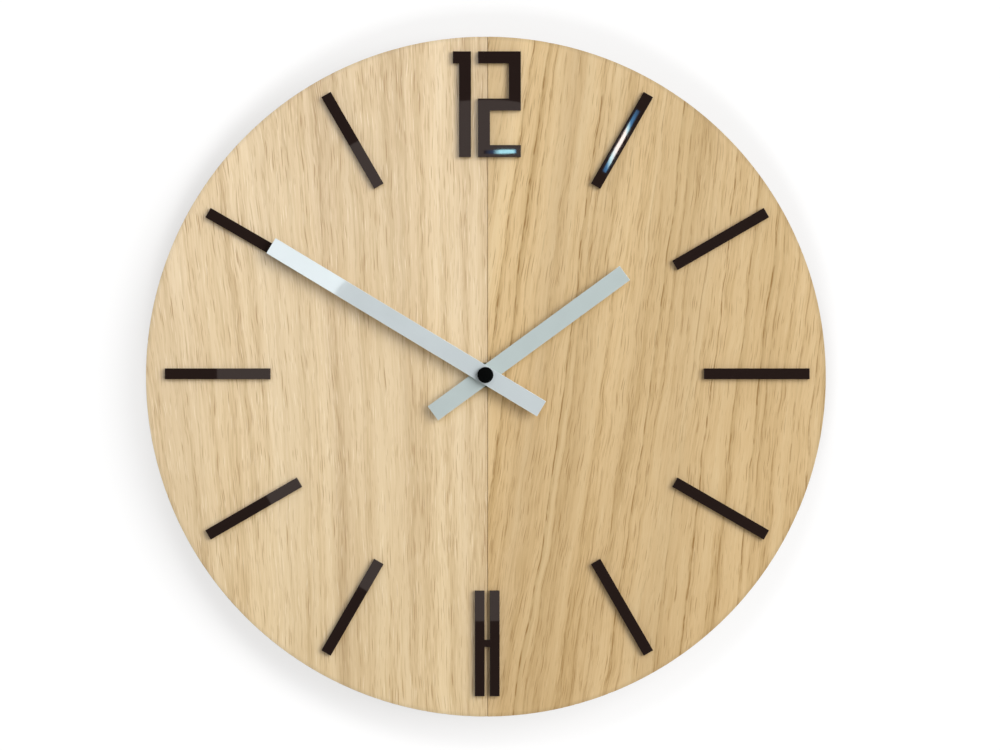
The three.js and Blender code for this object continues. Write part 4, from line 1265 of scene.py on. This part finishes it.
# %% Hands, collets and cap nut
HAND_EDGE = 0.1
COLLET_EDGE = 0.08
CAP_REAR_EDGE = 0.2
CAP_ROUND = 0.7  # radius of the rounded edge in front
CAP_CROWN = 0.15  # how far the front rises from there to its middle
CAP_HALFWAY_DROP = 0.04  # of the crown, halfway out
CAP_STEPS = 8

dress(lacquer_hour, HAND_EDGE, "hour_hand")
dress(lacquer_minute, HAND_EDGE, "minute_hand")
dress(turned_brass, COLLET_EDGE, "hour_hand_collet", "minute_hand_collet")

cap_solid = solid("cap_nut")
cap_radius = cap_solid.right
cap_profile = [
    (0, cap_solid.near),
    (cap_radius - CAP_REAR_EDGE, cap_solid.near),
    (cap_radius, cap_solid.near + CAP_REAR_EDGE),
]
for step in range(CAP_STEPS + 1):
    turn = step / CAP_STEPS * FULL_TURN / 4
    radius = cap_radius - CAP_ROUND * (1 - math.cos(turn))
    cap_profile.append((radius, cap_solid.far - CAP_CROWN - CAP_ROUND * (1 - math.sin(turn))))
cap_profile += [(cap_radius / 2, cap_solid.far - CAP_HALFWAY_DROP), (0, cap_solid.far)]
cap = turned_piece("cap", cap_profile, black_paint)
put(cap, "minute", "black_nut", "cap_nut")
print("hands and cap:", len(cap_profile), "steps in the cap")

# %% [markdown]
# ## Bush, nut, washer and gasket
# A threaded bush comes through the board, and a nut clamps the dial between washer and gasket. The
# thread is a real helix: on each row of points the radius depends on how far the turn and the
# height have come together.

# %% Threaded bush
BUSH_RADIUS = 4
BUSH_BORE = 2.75
BUSH_FLANGE = 1  # thickness
BUSH_MOUTH = 0.94  # the thread's end is drawn in to this share of its radius
THREAD_PITCH = 0.75
THREAD_DEPTH = 0.35
THREAD_ROWS = 8  # in one pitch
THREAD_SIDES = 48
THREAD_LEAST = 0.6  # of the depth, at the mouth

bush_solid = solid("threaded_bush")
flange_far = bush_solid.near + BUSH_FLANGE


def threaded(height):
    """The radius of the thread at a distance from the wall, for a turn from 0 to 1."""
    depth_share = min(1, (bush_solid.far - height) / THREAD_PITCH + THREAD_LEAST)
    crest = BUSH_RADIUS * (BUSH_MOUTH + (1 - BUSH_MOUTH) * depth_share)

    def radius(turn):
        phase = (height / THREAD_PITCH - turn) % 1
        return crest - THREAD_DEPTH * abs(2 * phase - 1) * depth_share

    return radius


thread_length = bush_solid.far - flange_far
thread_steps = round(thread_length / THREAD_PITCH * THREAD_ROWS)
bush_profile = [
    (BUSH_BORE, bush_solid.near),
    (bush_solid.right, bush_solid.near),
    (bush_solid.right, flange_far),
]
for step in range(thread_steps + 1):
    height = flange_far + thread_length * step / thread_steps
    bush_profile.append((threaded(height), height))
bush_profile.append((BUSH_BORE, bush_solid.far))
bush = turned_piece("bush", bush_profile, turned_brass, sides=THREAD_SIDES)
put(bush, "root", "brass", "threaded_bush")
print("bush:", len(bush.data.polygons), "faces")

# %% Washer, nut and gasket
CLEAR_HOLE = 4.1  # radius of the holes that go over the bush
WASHER_EDGE = 0.1
GASKET_EDGE = 0.15
NUT_EDGE = 0.25


def ring(title, node, edge, material):
    """A flat ring with broken outer edges, as large as the solid that it stands for."""
    place = solid(node)
    outer = place.right
    profile = [
        (CLEAR_HOLE, place.near),
        (CLEAR_HOLE, place.far),
        (outer - edge, place.far),
        (outer, place.far - edge),
        (outer, place.near + edge),
        (outer - edge, place.near),
    ]
    return turned_piece(title, profile, material)


put(ring("washer", "fixing_washer", WASHER_EDGE, dark_brass), "root", "brass", "fixing_washer")
put(ring("gasket", "rubber_gasket", GASKET_EDGE, rubber), "root", "black_rubber", "rubber_gasket")
dress(dark_brass, NUT_EDGE, "fixing_nut")
print("washer, gasket and nut: holes of", CLEAR_HOLE, "mm radius")

# %% [markdown]
# ## Hanger and movement case
# The hanger is a strip of sheet steel with a window and a notch for the wall screw. The case is
# moulded in two halves, and moulded edges are rounder than cut ones, so they get a wider bevel.

# %% Hanger, case, cover and bridge
HANGER_EDGE = 0.15
CASE_EDGE = 0.3
COVER_EDGE = 0.2
BRIDGE_EDGE = 0.1

dress(sheet_steel, HANGER_EDGE, "hanger")
dress(case_plastic, CASE_EDGE, "front_case")
dress(case_plastic, COVER_EDGE, "rear_cover")
dress(wheel_plastic, BRIDGE_EDGE, "bridge_plate")
print("hanger and case dressed in", sheet_steel.name, case_plastic.name)

# %% [markdown]
# ## Setting knob
# A thumb wheel at the back sets the hands. Its rim is ribbed for grip and its face is dished. Both
# could be cut with booleans, but here the radius of the rim simply swings in and out as it turns.

# %% Setting knob
KNOB_RADIUS = 5.5
KNOB_LIP_RADII = (4.3, 5.1)  # of the flat lip round the dish
KNOB_DISH_RADIUS = 3.6
KNOB_DISH_DEPTH = 0.5
KNOB_DISH_MIDDLE = 0.6  # depth
KNOB_FACE_RIM = [(0.1, 0.15, 0.6), (0, 0.35, 1)]  # inset, depth from the face, share of the ribs' depth
KNOB_BACK_RIM = [(0, 0.2, 1), (0.2, 0, 0.5)]
KNOB_RIBS = 36
KNOB_RIB_DEPTH = 0.3
KNOB_SIDES = 288
knob_solid = solid("setting_knob")


def ribbed(radius, share):
    """A radius with the ribs' grooves, at a share of their full depth, for a turn from 0 to 1."""
    depth = KNOB_RIB_DEPTH * share
    return lambda turn: radius - depth * (1 - math.cos(FULL_TURN * turn * KNOB_RIBS)) / 2


knob_profile = [
    (0, knob_solid.near + KNOB_DISH_MIDDLE),
    (KNOB_DISH_RADIUS, knob_solid.near + KNOB_DISH_DEPTH),
    (KNOB_LIP_RADII[0], knob_solid.near),
    (KNOB_LIP_RADII[1], knob_solid.near),
]
for inset, depth, share in KNOB_FACE_RIM:
    knob_profile.append((ribbed(KNOB_RADIUS - inset, share), knob_solid.near + depth))
for inset, depth, share in KNOB_BACK_RIM:
    knob_profile.append((ribbed(KNOB_RADIUS - inset, share), knob_solid.far - depth))
knob_profile.append((0, knob_solid.far))
knob = turned_piece("knob", knob_profile, knob_plastic, middle(knob_solid), KNOB_SIDES)
put(knob, "setting", "knob_plastic", "setting_knob")
print("knob ribs:", KNOB_RIBS)

# %% [markdown]
# ## Battery and contacts
# The battery is a steel can in a printed sleeve. It is drawn as a turned profile lying on its
# side, with the sleeve folded over both ends and the can's bare rims inside it.

# %% Battery
BUTTON_HEIGHT = 1.2
CONTACT_EDGE = 0.06
cell = solid("battery")
cell_radius = (cell.high - cell.low) / 2
cell_half = (cell.right - cell.left - BUTTON_HEIGHT) / 2
cell_middle = at(cell.left + cell_half, (cell.near + cell.far) / 2, middle(cell)[1])
SLEEVE_END = [(5.9, 0.15), (6.6, 0), (6.95, 0.12), (cell_radius, 0.5)]  # radius, and depth from the end
CAN_REAR = [(0, 0.1), (4.6, 0.1), (4.9, 0.3), (6.3, 0.25)]
CAN_SHOULDER = [(6.3, 0.3), (3.3, 0.3)]
CAN_BUTTON = [(2.9, 0.1), (2.7, 0.9), (2.4, BUTTON_HEIGHT), (0, BUTTON_HEIGHT)]  # height past the end


def lying(piece):
    """Lays a turned piece along x, in the battery's place."""
    piece.data.transform(Matrix.Rotation(math.pi / 2, 4, "Z"))
    piece.data.transform(Matrix.Translation(cell_middle))
    return piece


sleeve_profile = [(radius, depth - cell_half) for radius, depth in SLEEVE_END]
sleeve_profile += [(radius, cell_half - depth) for radius, depth in reversed(SLEEVE_END)]
can_profile = [(radius, depth - cell_half) for radius, depth in CAN_REAR]
can_profile += [(radius, cell_half - depth) for radius, depth in CAN_SHOULDER]
can_profile += [(radius, cell_half + height) for radius, height in CAN_BUTTON]
sleeve = lying(turned_piece("battery_sleeve", sleeve_profile, battery_sleeve))
can = lying(turned_piece("battery_can", can_profile, turned_steel))
put(sleeve, "battery", "cell_sleeve", "battery")
put(can, "battery", "steel")
dress(sheet_steel, CONTACT_EDGE, "contact_negative", "contact_positive")
print("battery:", len(sleeve_profile) + len(can_profile), "profile points")

# %% [markdown]
# ## Works
# The wheels and the motor are hidden by the case until it is opened. Their solids carry the teeth
# and pivots already, so they get their finishes and nothing more.

# %% Works
WORKS = {
    wheel_plastic: ["hour_wheel", "intermediate_wheel", "setting_pinion", "centre_wheel", "third_wheel",
                    "seconds_wheel", "fifth_wheel", "rotor", "coil_bobbin"],
    turned_steel: ["minute_arbor", "quartz_crystal"],
    sheet_steel: ["clutch_spring", "stator", "coil_core"],
    copper_wire: ["coil_winding"],
    magnet: ["rotor_magnet"],
    circuit_green: ["circuit_board"],
    case_plastic: ["chip"],
}
for material, nodes in WORKS.items():
    dress(material, 0, *nodes)
print("works:", sum(len(nodes) for nodes in WORKS.values()), "solids")
